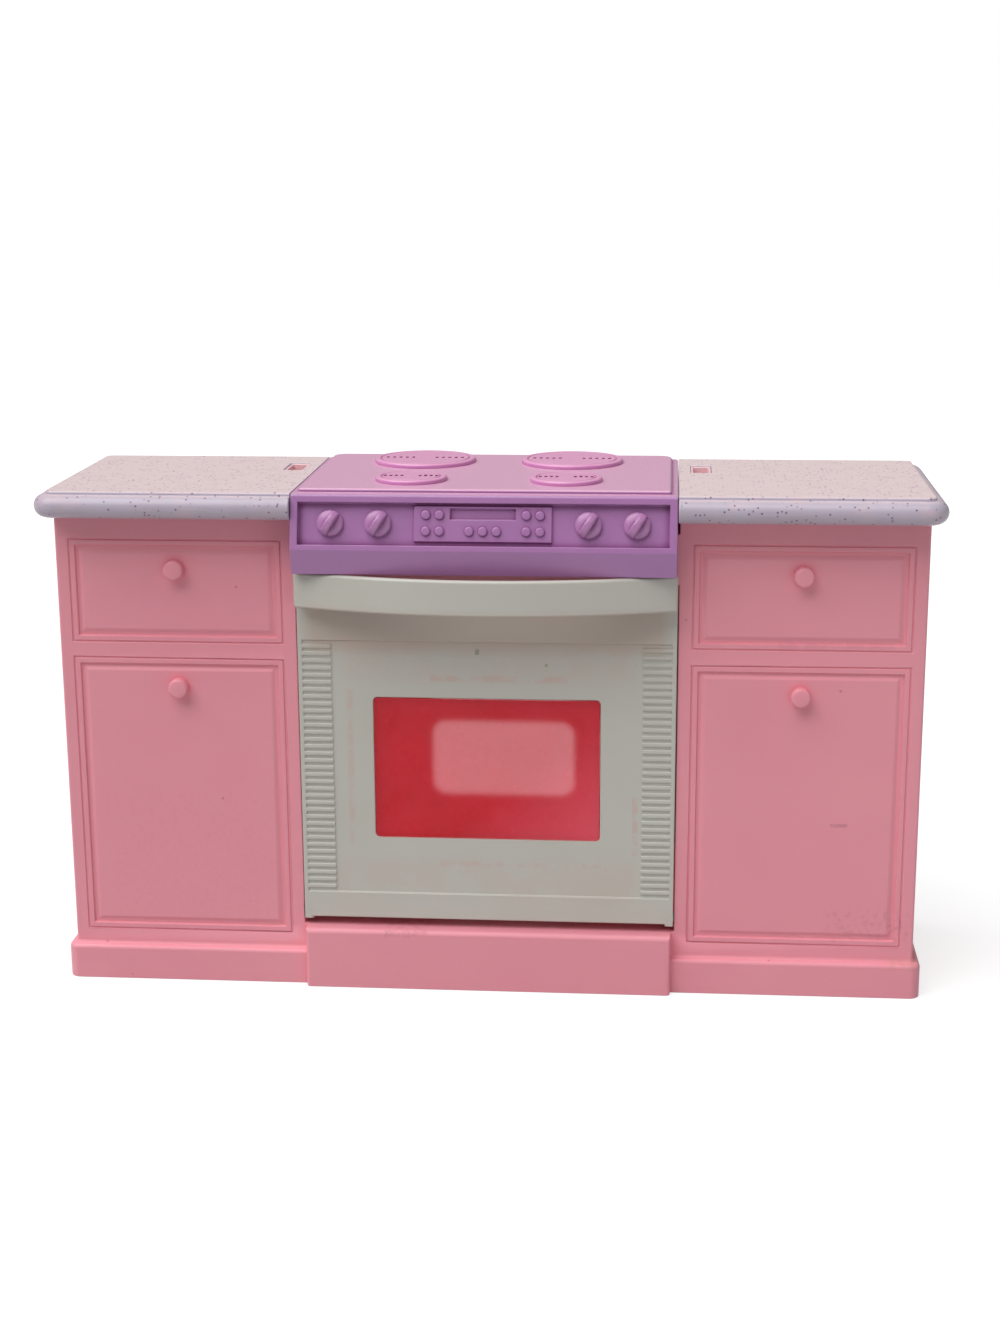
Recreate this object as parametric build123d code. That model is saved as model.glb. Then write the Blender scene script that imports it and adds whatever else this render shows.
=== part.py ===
from build123d import *
import math
import os

# A toy kitchen unit at one sixth of real size: a range between two counter cabinets.
# Millimetres, Z up. X runs from left to right and Y from front to back. While a piece is modelled,
# Y = 0 is the front face of the cabinets, and every piece moves together when it is written,
# so that the origin lies under the middle of the whole unit.

# Cabinet moulding
worktop_top = 150.0
bay_width = 110.5
cabinet_width = 70.2
cabinet_depth = 62.0
wall = 2.0
cabinet_corner = 0.8
cut_margin = 1.0

# Plinth and kick panel
plinth_height = 11.6
plinth_face_height = 10.6
plinth_shoulder = 10.8
plinth_shoulder_out = 0.5
plinth_out = 2.3
plinth_round = 1.3
kick_out = 4.95
kick_gap = 0.95
kick_round = 1.5
kick_corner = 1.0
bay_floor = 18.4

# Header above the oven and the window in the back of the bay
rail_drop = 22.0
bay_roof_drop = 12.0
back_window_width = 45.6
back_window_height = 24.9
back_window_rise = 34.6
back_window_corner = 4.5

# Moulded drawer front and cupboard door of each cabinet
front_side_margin = 3.65
drawer_top_drop = 14.6
drawer_height = 31.15
cupboard_bottom = 14.95
cupboard_gap = 4.05
outline_width = 0.8
outline_depth = 0.4
bead_width = 1.2
channel_width = 0.8
channel_depth = 0.7
panel_bevel = 1.9
pull_radius = 2.9
pull_length = 3.4
pull_edge = 0.8
pull_drop = 9.0

# Worktops with a round belt along the front and the outer side
worktop_thickness = 7.6
belt_height = 6.6
belt_corner = 3.4
step_inset = 0.1
step_round = 0.4
front_overhang = 10.4
side_overhang = 4.05
back_overhang = 2.0
back_corner = 4.0
worktop_bay_overhang = 0.5
worktop_skin = 2.0
rib = 1.2
cell_size = 24.0

# Sockets through the worktops
socket_width = 6.2
socket_length = 14.0
socket_from_bay = 3.05
socket_from_back = 11.7
socket_wall = 0.75
socket_sink = 1.0
socket_depth = 14.0
socket_floor = 1.2
collar_fit = 0.1

# Range top: hob and control panel in one moulding
range_gap = 0.5
skirt = 2.0
ledge = 1.5
hob_rise = 1.2
hob_front = 5.0
hob_round = 0.7
hob_corner = 4.0
fascia_top_out = 7.24
fascia_foot_out = 11.3
fascia_foot_drop = 15.4
fascia_bottom_drop = 22.1
fascia_round = 1.2
fascia_wall = 1.6
header_gap = 1.0

# Control panel recess, keypad and display
recess_margin = 1.85
recess_bottom = 1.5
recess_height = 12.05
recess_depth = 2.0
keypad_width = 38.9
keypad_bottom = 2.75
keypad_height = 10.1
keypad_rise = 0.8
display_width = 18.5
display_bottom = 9.1
display_height = 3.1
display_depth = 0.6
key_radius = 1.32
key_rise = 0.5
key_root = 0.5
key_row = 5.75
key_row_pitch = 4.6
key_outer = 16.1
key_pitch = 3.85

# Control knobs
knob_inner = 29.7
knob_outer = 43.3
knob_height_up = 7.78
knob_radius = 3.8
knob_rim = 1.2
knob_rise = 2.9
knob_edge = 0.45
grip_width = 2.6
grip_lean = 32.0
stem_radius = 1.6
stem_clearance = 0.05
knob_gap = 0.2
snap_radius = 2.2
snap_length = 1.0

# Burner plates
burner_x = 22.45
back_burner_y = 47.5
front_burner_y = 11.5
back_burner_radius = 15.4
front_burner_radius = 10.45
burner_rise = 1.3
burner_bevel = 0.8
burner_groove_in = 1.5
burner_groove_width = 0.7
burner_groove_depth = 0.4
slot_width = 0.7
slot_length = 3.0
slot_start = 2.75
slot_depth = 0.3
back_slot_pitch = 2.28
front_slot_pitch = 1.7
back_slots = 5
front_slots = 4
peg_width = 4.4
peg_length = 1.6
peg_clearance = 0.05

# Oven door
door_gap = 0.6
door_lift = 1.9
door_top_gap = 1.0
door_proud = 1.0
door_wall = 1.8
door_rim_depth = 6.0
door_rim = 1.6
door_round = 0.4
foot_width = 2.3
foot_height = 0.7
field_rise = 8.7
field_drop = 21.0
field_side = 1.1
field_depth = 0.5
side_rib_length = 8.3
side_rib_height = 1.25
side_rib_margin = 1.1
side_rib_count = 35

# Oven window
window_width = 66.2
window_height = 42.6
window_drop = 37.95
window_corner = 1.1
window_fit = 0.1
window_sink = 0.3
flange_border = 8.2
flange_thickness = 1.2

# Door handle, a bar bowed forward
handle_height = 10.4
handle_out = 14.7
handle_end_out = 4.3
handle_thickness = 2.2
handle_round = 1.0
handle_post = 4.1

# Door hinge
hinge_y = 2.0
hinge_lift = 4.1
lug_radius = 3.0
lug_width = 2.5
pin_radius = 1.5
pin_clearance = 0.05
pin_end_gap = 0.25
stop_gap = 0.3
stop_width = 2.0
stop_depth = 1.6
stop_rise = 26.6
stop_drop = 18.0

# Values that follow from the sizes above
bay_half = bay_width / 2
body_half = bay_half + cabinet_width
body_top = worktop_top - worktop_thickness
bay_roof_top = worktop_top - bay_roof_drop
bay_roof_bottom = bay_roof_top - wall
rail_bottom = worktop_top - rail_drop
back_window_middle = bay_floor + back_window_rise
kick_half = bay_half - kick_gap
back_wall_front = cabinet_depth - wall
worktop_inner = bay_half - worktop_bay_overhang
worktop_back = cabinet_depth + back_overhang
belt_radius = belt_height / 2
range_half = worktop_inner - range_gap
door_half = bay_half - door_gap
door_top = rail_bottom - door_top_gap
door_bottom = bay_floor + door_lift
door_face = -door_proud
field_bottom = door_bottom + field_rise
field_top = door_top - field_drop
window_top = door_top - window_drop
window_bottom = window_top - window_height
hinge_z = bay_floor + hinge_lift
socket_x = bay_half + socket_from_bay + socket_width / 2
socket_y = cabinet_depth - socket_from_back - socket_length / 2
fascia_foot_z = worktop_top - fascia_foot_drop
fascia_bottom = worktop_top - fascia_bottom_drop
fascia_tilt = math.atan((fascia_foot_out - fascia_top_out) / fascia_foot_drop)
hob_top = worktop_top + hob_rise
handle_front = door_face - handle_out
face_y = -(worktop_back + handle_front) / 2

# The control panel's own frame: X to the right, Y up the sloping face, Z straight out of it
fascia_plane = Plane(
    origin=(0, -fascia_foot_out, fascia_foot_z),
    x_dir=(1, 0, 0),
    z_dir=(0, -math.cos(fascia_tilt), math.sin(fascia_tilt)),
)


def block(x, y, z):
    # A block between two values on each axis
    size = (x[1] - x[0], y[1] - y[0], z[1] - z[0])
    middle = ((x[0] + x[1]) / 2, (y[0] + y[1]) / 2, (z[0] + z[1]) / 2)
    return Pos(*middle) * Box(*size)


def mirrored(shape):
    # The same shape on the other side of the unit
    return mirror(shape, about=Plane.YZ)


def both_sides(shape):
    return shape + mirrored(shape)


def along_x(profile, x0, x1):
    # Extrudes a profile drawn in Y and Z between two X values
    return extrude(Plane.YZ.offset(x0) * profile, amount=x1 - x0, dir=(1, 0, 0))


def cylinder_x(radius, x0, x1, y, z):
    return along_x(Pos(y, z) * Circle(radius), x0, x1)


def on_fascia(x0, x1, up0, up1, out0, out1):
    # A block given in the control panel's own frame
    return fascia_plane.location * block((x0, x1), (up0, up1), (out0, out1))


def cells(x, y, z):
    # Hollows under a moulded top, with stiffening ribs between them
    columns = math.ceil((x[1] - x[0]) / cell_size)
    rows = math.ceil((y[1] - y[0]) / cell_size)
    step_x = (x[1] - x[0] + rib) / columns
    step_y = (y[1] - y[0] + rib) / rows
    hollows = []
    for column in range(columns):
        for row in range(rows):
            left = x[0] + column * step_x
            near = y[0] + row * step_y
            hollows.append(block((left, left + step_x - rib), (near, near + step_y - rib), z))
    return hollows


def plinth():
    # The skirting that runs round the front and sides, swept along the foot of the cabinets
    overlap = cabinet_corner / 2
    profile = Polygon(
        (-overlap, 0),
        (plinth_out, 0),
        (plinth_out, plinth_face_height),
        (plinth_shoulder_out, plinth_shoulder),
        (0, plinth_height),
        (-overlap, plinth_height),
        align=None,
    )
    convex = profile.vertices().sort_by_distance((plinth_out, plinth_face_height))[0]
    profile = fillet(convex, plinth_round)
    route = FilletPolyline(
        (-body_half, cabinet_depth),
        (-body_half, 0),
        (body_half, 0),
        (body_half, cabinet_depth),
        radius=cabinet_corner,
    )
    start = Plane(origin=(-body_half, cabinet_depth, 0), x_dir=(-1, 0, 0), z_dir=(0, 1, 0))
    return sweep(start * profile, path=route)


def kick_panel():
    panel = block((-kick_half, kick_half), (-kick_out, wall), (0, bay_floor))
    upright = panel.edges().filter_by(Axis.Z).group_by(Axis.Y)[0]
    panel = fillet(upright, kick_corner)
    top_front = panel.faces().sort_by(Axis.Z)[-1].edges().sort_by(Axis.Y)[0]
    return fillet(top_front, kick_round)


def front_relief(x, z):
    # The sunk lines of a drawer front or cupboard door: outline, bead, channel, bevelled panel
    def ring(inset, width, depth):
        front = -cut_margin
        outer = block((x[0] + inset, x[1] - inset), (front, depth), (z[0] + inset, z[1] - inset))
        inner = inset + width
        return outer - block(
            (x[0] + inner, x[1] - inner),
            (2 * front, depth + cut_margin),
            (z[0] + inner, z[1] - inner),
        )

    outline = ring(0, outline_width, outline_depth)
    channel_start = outline_width + bead_width
    panel_start = channel_start + channel_width
    pocket = block(
        (x[0] + channel_start, x[1] - channel_start),
        (-cut_margin, channel_depth),
        (z[0] + channel_start, z[1] - channel_start),
    )
    base = Plane(
        origin=((x[0] + x[1]) / 2, channel_depth, (z[0] + z[1]) / 2),
        x_dir=(1, 0, 0),
        z_dir=(0, -1, 0),
    )
    foot = Rectangle(x[1] - x[0] - 2 * panel_start, z[1] - z[0] - 2 * panel_start)
    slope = math.degrees(math.atan(panel_bevel / channel_depth))
    island = extrude(base * foot, amount=channel_depth, taper=slope)
    cap = block(
        (x[0] + panel_start + panel_bevel, x[1] - panel_start - panel_bevel),
        (-2 * cut_margin, 0),
        (z[0] + panel_start + panel_bevel, z[1] - panel_start - panel_bevel),
    )
    return outline + (pocket - island - cap)


def pull(x, z):
    # A round pull moulded on the cabinet front
    front = Plane(origin=(x, wall / 2, z), x_dir=(1, 0, 0), z_dir=(0, -1, 0))
    knob = extrude(front * Circle(pull_radius), amount=pull_length + wall / 2)
    rim = knob.faces().sort_by(Axis.Y)[0].edges()
    return chamfer(rim, pull_edge)


def socket_box(fit, top, bottom):
    # The socket's outline in the worktop, drawn in by a fit on each side
    return block(
        (socket_x - socket_width / 2 + fit, socket_x + socket_width / 2 - fit),
        (socket_y - socket_length / 2 + fit, socket_y + socket_length / 2 - fit),
        (bottom, top),
    )


def make_cabinet_body():
    body = block((-body_half, body_half), (0, cabinet_depth), (0, body_top))
    corners = body.edges().filter_by(Axis.Z).group_by(Axis.Y)[0]
    body = fillet(corners, cabinet_corner)
    body += plinth()
    body += kick_panel()

    # The bay for the range, open in front, under the header rail
    past_front = kick_out + plinth_out
    body -= block((-bay_half, bay_half), (-past_front, wall), (bay_floor, rail_bottom))
    body -= block((-bay_half, bay_half), (wall, back_wall_front), (bay_floor, bay_roof_bottom))
    past_back = cabinet_depth + cut_margin
    body -= block(
        (-bay_half, bay_half), (-cut_margin, past_back), (bay_roof_top, body_top + cut_margin)
    )

    # Hollow cabinets and the space under the bay floor, open at the back
    cabinet_hollow = block(
        (bay_half + wall, body_half - wall), (wall, past_back), (wall, body_top - wall)
    )
    body -= both_sides(cabinet_hollow)
    floor_hollow = block(
        (-kick_half + wall, kick_half - wall),
        (wall - kick_out, past_back),
        (wall, bay_floor - wall),
    )
    body -= floor_hollow

    # Window in the back wall of the bay
    opening = Pos(0, back_window_middle) * RectangleRounded(
        back_window_width, back_window_height, back_window_corner
    )
    back = Plane(origin=(0, past_back, 0), x_dir=(1, 0, 0), z_dir=(0, -1, 0))
    body -= extrude(back * opening, amount=wall + 2 * cut_margin)

    # Drawer front and cupboard door on each side
    front_x = (bay_half + front_side_margin, body_half - front_side_margin)
    drawer_top = worktop_top - drawer_top_drop
    drawer_bottom = drawer_top - drawer_height
    cupboard_top = drawer_bottom - cupboard_gap
    reliefs = front_relief(front_x, (drawer_bottom, drawer_top))
    reliefs += front_relief(front_x, (cupboard_bottom, cupboard_top))
    body -= both_sides(reliefs)
    middle_x = (front_x[0] + front_x[1]) / 2
    pulls = pull(middle_x, drawer_top - pull_drop) + pull(middle_x, cupboard_top - pull_drop)
    body += both_sides(pulls)

    # Collars that stand up inside the worktop sockets, closed at the bottom
    collar_top = worktop_top - socket_sink
    collar_bottom = collar_top - socket_depth
    collar = socket_box(collar_fit, collar_top, collar_bottom - socket_floor)
    body += both_sides(collar)
    well = socket_box(collar_fit + socket_wall, collar_top + cut_margin, collar_bottom)
    body -= both_sides(well)

    # Door stops and pin holes in the sides of the bay
    stop_front = door_face + door_rim_depth + stop_gap
    stop = block(
        (bay_half - stop_width, bay_half + wall / 2),
        (stop_front, stop_front + stop_depth),
        (bay_floor + stop_rise, rail_bottom - stop_drop),
    )
    body += both_sides(stop)
    hole_radius = pin_radius + pin_clearance
    hole = cylinder_x(hole_radius, bay_half - cut_margin, bay_half + wall, hinge_y, hinge_z)
    body -= both_sides(hole)
    return body


def make_worktop():
    # The right-hand worktop: a swept edge round the front and the outer side, then the flat field
    outer_x = body_half + side_overhang
    belt_x = outer_x - belt_radius
    belt_y = -front_overhang + belt_radius
    belt_bottom = body_top
    belt_top = belt_bottom + belt_height
    belt_middle = belt_bottom + belt_radius
    tuck = belt_corner / 2

    outline = Polyline((-tuck, belt_bottom), (0, belt_bottom))
    outline += ThreePointArc((0, belt_bottom), (belt_radius, belt_middle), (0, belt_top))
    outline += Polyline(
        (0, belt_top),
        (-step_inset, belt_top),
        (-step_inset, worktop_top),
        (-tuck, worktop_top),
        (-tuck, belt_bottom),
    )
    section = make_face(outline)
    brow = section.vertices().sort_by_distance((-step_inset, worktop_top))[0]
    section = fillet(brow, step_round)
    route = FilletPolyline(
        (worktop_inner, belt_y),
        (belt_x, belt_y),
        (belt_x, worktop_back),
        radius=belt_corner,
    )
    start = Plane(origin=(worktop_inner, belt_y, 0), x_dir=(0, -1, 0), z_dir=(-1, 0, 0))
    edge = sweep(start * section, path=route)
    brow_inset = step_inset + step_round
    field = block(
        (worktop_inner, belt_x - brow_inset),
        (belt_y + brow_inset, worktop_back),
        (belt_bottom, worktop_top),
    )
    field_corner = field.edges().filter_by(Axis.Z).sort_by_distance((belt_x, belt_y, belt_middle))[0]
    top = fillet(field_corner, belt_corner - brow_inset) + edge

    # Round the back outer corner of the whole edge
    limit = block(
        (0, outer_x), (-front_overhang - cut_margin, worktop_back), (0, worktop_top + cut_margin)
    )
    back_edge = limit.edges().filter_by(Axis.Z).sort_by_distance((outer_x, worktop_back, 0))[0]
    top &= fillet(back_edge, back_corner)

    # Ribbed hollows underneath, one set over the cabinet and one in the overhang
    hollow_z = (body_top - cut_margin, worktop_top - worktop_skin)
    hollow_x = (worktop_inner + wall, body_half - wall)
    hollows = cells(hollow_x, (wall, worktop_back - back_corner), hollow_z)
    overhang_y = (belt_y + step_inset + rib, -rib)
    hollows += cells(hollow_x, overhang_y, hollow_z)
    surround = socket_box(-rib, worktop_top, belt_bottom)
    for hollow in hollows:
        top -= hollow - surround
    return top - socket_box(0, worktop_top + cut_margin, belt_bottom - cut_margin)


def fascia_profile():
    # Side view of the range top's outside, from the back over the hob and down the control panel
    profile = Polygon(
        (worktop_back, bay_roof_top),
        (worktop_back, worktop_top),
        (-fascia_top_out, worktop_top),
        (-fascia_foot_out, fascia_foot_z),
        (-fascia_foot_out, fascia_bottom),
        (-header_gap, fascia_bottom),
        (-header_gap, bay_roof_top),
        align=None,
    )
    brow = profile.vertices().sort_by_distance((-fascia_top_out, worktop_top))[0]
    profile = fillet(brow, fascia_round)
    foot = profile.vertices().sort_by_distance((-fascia_foot_out, fascia_foot_z))[0]
    return fillet(foot, fascia_round)


def make_range_top():
    top = along_x(fascia_profile(), -range_half, range_half)

    # The raised hob, with round back corners and soft edges
    hob_half = range_half - ledge
    hob = block((-hob_half, hob_half), (-hob_front, worktop_back - ledge / 2), (bay_roof_top, hob_top))
    back_corners = hob.edges().filter_by(Axis.Z).group_by(Axis.Y)[-1]
    hob = fillet(back_corners, hob_corner)
    hob = fillet(hob.faces().sort_by(Axis.Z)[-1].edges(), hob_round)
    top += hob

    # Hollow behind the control panel and ribbed hollows under the hob
    inner_half = range_half - skirt
    panel_skin = recess_depth + fascia_wall
    slope = math.tan(fascia_tilt)
    skin_y = panel_skin / math.cos(fascia_tilt)
    ceiling = worktop_top - skirt
    past_header = -header_gap + cut_margin
    past_foot = fascia_bottom - cut_margin
    hollow = Polygon(
        (past_header, past_foot),
        (-fascia_foot_out + fascia_wall, past_foot),
        (-fascia_foot_out + fascia_wall, fascia_foot_z - fascia_wall),
        (-fascia_foot_out + skin_y, fascia_foot_z),
        (-fascia_foot_out + skin_y + slope * (ceiling - fascia_foot_z), ceiling),
        (past_header, ceiling),
        align=None,
    )
    rib_places = [knob_inner - (knob_outer - knob_inner) / 2, (knob_inner + knob_outer) / 2]
    edges = [0.0] + rib_places + [inner_half + rib / 2]
    for left, right in zip(edges, edges[1:]):
        top -= both_sides(along_x(hollow, left + rib / 2, right - rib / 2))
    under_hob_y = (rib, worktop_back - skirt)
    under_hob_z = (bay_roof_top - cut_margin, ceiling)
    for cell in cells((-inner_half, inner_half), under_hob_y, under_hob_z):
        top -= cell
    hole_width = peg_width + 2 * peg_clearance
    hole_depth = peg_length + peg_clearance
    for y in (back_burner_y, front_burner_y):
        top -= both_sides(Pos(burner_x, y, hob_top) * Box(hole_width, hole_width, 2 * hole_depth))

    # Control panel: recess, raised keypad with a sunk display, round keys and knob holes
    recess_half = range_half - recess_margin
    recess_top = recess_bottom + recess_height
    top -= on_fascia(
        -recess_half, recess_half, recess_bottom, recess_top, -recess_depth, cut_margin
    )
    keypad_face = keypad_rise - recess_depth
    keypad = on_fascia(
        -keypad_width / 2,
        keypad_width / 2,
        keypad_bottom,
        keypad_bottom + keypad_height,
        -recess_depth - fascia_wall / 2,
        keypad_face,
    )
    top += keypad
    top -= on_fascia(
        -display_width / 2,
        display_width / 2,
        display_bottom,
        display_bottom + display_height,
        keypad_face - display_depth,
        keypad_face + cut_margin,
    )
    for x, up in key_places():
        key = Cylinder(key_radius, key_rise + key_root, align=(Align.CENTER, Align.CENTER, Align.MIN))
        top += fascia_plane.location * Pos(x, up, keypad_face - key_root) * key
    for x in knob_places():
        hole = Cylinder(stem_radius + stem_clearance, 2 * (panel_skin + cut_margin))
        top -= fascia_plane.location * Pos(x, knob_height_up, 0) * hole
    return top


def key_places():
    # Four keys on each side of the display and three below it
    places = []
    for side in (-1, 1):
        for x in (key_outer, key_outer - key_pitch):
            places.append((side * x, key_row))
            places.append((side * x, key_row + key_row_pitch))
    for step in (-1, 0, 1):
        places.append((step * key_pitch, key_row))
    return places


def knob_places():
    return (-knob_outer, -knob_inner, knob_inner, knob_outer)


def make_knob(x):
    # A low round knob with a domed grip across it, and a stem that snaps in behind the panel
    base = knob_gap - recess_depth
    rim = Pos(0, 0, base) * Cylinder(
        knob_radius, knob_rim, align=(Align.CENTER, Align.CENTER, Align.MIN)
    )
    rim = chamfer(rim.faces().sort_by(Axis.Z)[-1].edges(), knob_edge)
    dome_rise = knob_rise - knob_rim / 2
    dome_radius = (knob_radius**2 + dome_rise**2) / (2 * dome_rise)
    grip = Pos(0, 0, base + knob_rise - dome_radius) * Rot(0, 90, 0) * Cylinder(dome_radius, grip_width)
    grip = Rot(0, 0, -grip_lean) * grip
    grip &= Pos(0, 0, base) * Cylinder(
        knob_radius, knob_rise, align=(Align.CENTER, Align.CENTER, Align.MIN)
    )
    stem_end = -recess_depth - fascia_wall - knob_gap
    stem = Pos(0, 0, stem_end - snap_length) * Cylinder(
        stem_radius, base - stem_end + snap_length + knob_rim / 2,
        align=(Align.CENTER, Align.CENTER, Align.MIN),
    )
    snap = Pos(0, 0, stem_end - snap_length) * Cone(
        stem_radius, snap_radius, snap_length, align=(Align.CENTER, Align.CENTER, Align.MIN)
    )
    knob = rim + grip + stem + snap
    return fascia_plane.location * Pos(x, knob_height_up, 0) * knob


def make_burner(x, y, radius, slots, pitch):
    # A round plate with a bevelled rim, one ring groove and a row of slots along X,
    # on a square peg that keeps it from turning
    groove_out = radius - burner_groove_in
    half_section = Polygon(
        (0, 0),
        (radius, 0),
        (radius, burner_rise - burner_bevel),
        (radius - burner_bevel, burner_rise),
        (groove_out, burner_rise),
        (groove_out - burner_groove_width / 2, burner_rise - burner_groove_depth),
        (groove_out - burner_groove_width, burner_rise),
        (0, burner_rise),
        align=None,
    )
    plate = revolve(Plane.XZ * half_section, axis=Axis.Z)
    half_peg = peg_width / 2
    plate += block((-half_peg, half_peg), (-half_peg, half_peg), (-peg_length, burner_rise / 2))
    for step in range(slots):
        slot = block(
            (slot_start + step * pitch - slot_width / 2, slot_start + step * pitch + slot_width / 2),
            (-slot_length / 2, slot_length / 2),
            (burner_rise - slot_depth, burner_rise + cut_margin),
        )
        plate -= both_sides(slot)
    return Pos(x, y, hob_top) * plate


def door_handle():
    # A bar whose front follows one arc, joined to the door by a post at each end
    rise = handle_out - handle_end_out
    bow_radius = (door_half**2 + rise**2) / (2 * rise)
    middle_y = handle_front + bow_radius
    bow = Pos(0, middle_y) * Circle(bow_radius)
    behind = Pos(0, middle_y) * Circle(bow_radius - handle_thickness)
    reach = Pos(0, door_face - handle_out) * Rectangle(
        2 * door_half, handle_out, align=(Align.CENTER, Align.MIN)
    )
    gap = Pos(0, door_face - handle_out) * Rectangle(
        2 * (door_half - handle_post), handle_out, align=(Align.CENTER, Align.MIN)
    )
    outline = (bow & reach) - (behind & gap)
    handle = extrude(Pos(0, 0, door_top - handle_height) * outline, amount=handle_height)
    front_top = handle.edges().filter_by(GeomType.CIRCLE).group_by(Axis.Z)[-1].sort_by(Axis.Y)[0]
    return fillet(front_top, handle_round)


def make_oven_door():
    rim_back = door_face + door_rim_depth
    past_front = door_face - cut_margin
    slab = block((-door_half, door_half), (door_face, rim_back), (door_bottom, door_top))
    between_feet = door_half - foot_width
    slab -= block(
        (-between_feet, between_feet),
        (past_front, rim_back + cut_margin),
        (door_bottom - cut_margin, door_bottom + foot_height),
    )
    slab = fillet(slab.faces().sort_by(Axis.Y)[0].edges(), door_round)

    # Sunk field with a ladder of ribs on each side
    field_half = door_half - field_side
    field_face = door_face + field_depth
    slab -= block((-field_half, field_half), (past_front, field_face), (field_bottom, field_top))
    ladder_bottom = field_bottom + side_rib_margin
    ladder_height = field_top - field_bottom - 2 * side_rib_margin
    rib_step = (ladder_height - side_rib_height) / (side_rib_count - 1)
    for step in range(side_rib_count):
        low = ladder_bottom + step * rib_step
        slab += both_sides(
            block(
                (field_half - side_rib_length, field_half + field_side / 2),
                (door_face, field_face + door_wall / 2),
                (low, low + side_rib_height),
            )
        )

    # Hollow back with a rim all round, and the window opening
    slab -= block(
        (door_rim - door_half, door_half - door_rim),
        (door_face + door_wall, rim_back + cut_margin),
        (door_bottom + foot_height + door_rim, door_top - door_rim),
    )
    window_middle = (window_bottom + window_top) / 2
    opening = Pos(0, window_middle) * RectangleRounded(
        window_width, window_top - window_bottom, window_corner
    )
    front = Plane(origin=(0, past_front, 0), x_dir=(1, 0, 0), z_dir=(0, -1, 0))
    slab -= extrude(front * opening, amount=-door_wall - 2 * cut_margin)

    slab += door_handle()

    # Hinge lugs with stub pins that turn in the sides of the bay
    lug = cylinder_x(lug_radius, door_half - lug_width, door_half, hinge_y, hinge_z)
    pin_end = bay_half + wall - pin_end_gap
    pin = cylinder_x(pin_radius, door_half - lug_width / 2, pin_end, hinge_y, hinge_z)
    slab += both_sides(lug + pin)
    return slab


def make_door_window():
    # A clear panel: a flange behind the door and a pad that fills the opening
    flange_front = door_face + door_wall
    window_middle = (window_bottom + window_top) / 2
    height = window_top - window_bottom
    front = Plane(origin=(0, flange_front, 0), x_dir=(1, 0, 0), z_dir=(0, -1, 0))
    flange = Pos(0, window_middle) * Rectangle(
        window_width + 2 * flange_border, height + 2 * flange_border
    )
    pane = extrude(front * flange, amount=-flange_thickness)
    pad = Pos(0, window_middle) * RectangleRounded(
        window_width - 2 * window_fit, height - 2 * window_fit, window_corner
    )
    return pane + extrude(front * pad, amount=door_wall - window_sink)


def build_pieces():
    worktop = make_worktop()
    pieces = {
        "cabinet_body": make_cabinet_body(),
        "worktop_right": worktop,
        "worktop_left": mirrored(worktop),
        "range_top": make_range_top(),
        "oven_door": make_oven_door(),
        "door_window": make_door_window(),
    }
    for number, x in enumerate(knob_places(), start=1):
        pieces[f"control_knob_{number}"] = make_knob(x)
    for side, x in (("left", -burner_x), ("right", burner_x)):
        pieces[f"burner_back_{side}"] = make_burner(
            x, back_burner_y, back_burner_radius, back_slots, back_slot_pitch
        )
        pieces[f"burner_front_{side}"] = make_burner(
            x, front_burner_y, front_burner_radius, front_slots, front_slot_pitch
        )
    return pieces


os.makedirs("parts", exist_ok=True)
for name, piece in build_pieces().items():
    placed = Pos(0, face_y, 0) * piece
    export_step(placed, f"parts/{name}.step")
    size = placed.bounding_box().size
    print(f"{name}: {len(placed.solids())} solid, {size.X:.2f} x {size.Y:.2f} x {size.Z:.2f} mm")

hinge = (0, face_y + hinge_y, hinge_z)
print("door hinge axis through", hinge)
for x in knob_places():
    centre = (fascia_plane.location * Pos(x, knob_height_up, 0)).position
    print("knob axis through", (round(centre.X, 3), round(centre.Y + face_y, 3), round(centre.Z, 3)))
print("panel normal", fascia_plane.z_dir)
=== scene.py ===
import math

import bmesh
import bpy
from mathutils import Matrix, Vector
from mathutils.geometry import delaunay_2d_cdt


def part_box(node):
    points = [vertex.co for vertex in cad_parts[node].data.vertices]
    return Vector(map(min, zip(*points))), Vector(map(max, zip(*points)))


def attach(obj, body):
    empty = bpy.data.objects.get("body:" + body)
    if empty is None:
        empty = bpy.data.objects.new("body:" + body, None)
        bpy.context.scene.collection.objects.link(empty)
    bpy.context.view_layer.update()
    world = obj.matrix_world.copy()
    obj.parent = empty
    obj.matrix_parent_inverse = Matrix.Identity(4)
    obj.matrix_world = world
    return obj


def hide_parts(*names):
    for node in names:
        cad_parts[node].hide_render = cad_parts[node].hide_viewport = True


# A doll-size kitchen range between two counter cabinets.
# Sizes in the dictionaries are millimetres. While a piece is made, y = 0 is the cabinets' front
# face; settle() turns it into metres and moves it to its place in the frame.

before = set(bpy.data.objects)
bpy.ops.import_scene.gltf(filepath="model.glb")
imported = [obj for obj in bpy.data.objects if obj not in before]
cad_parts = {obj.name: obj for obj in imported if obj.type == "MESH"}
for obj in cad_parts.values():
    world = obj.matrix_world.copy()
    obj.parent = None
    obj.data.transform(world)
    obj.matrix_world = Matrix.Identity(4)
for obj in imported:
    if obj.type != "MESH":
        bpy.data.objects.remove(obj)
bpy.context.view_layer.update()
millimetre = 0.001
print("frame loaded")

unit = {
    "worktopTop": 150.0,
    "bayHalf": 55.25,
    "bodyHalf": 125.45,
    "bodyDepth": 62.0,
    "wall": 2.0,
    "backEdge": 64.0,
}
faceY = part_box("worktop_right")[1].y - unit["backEdge"] * millimetre


# Points and outlines

def arcPoints(centre, radius, startDegrees, endDegrees, steps):
    points = []
    for step in range(steps + 1):
        angle = math.radians(startDegrees + (endDegrees - startDegrees) * step / steps)
        points.append((centre[0] + radius * math.cos(angle), centre[1] + radius * math.sin(angle)))
    return points


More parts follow.
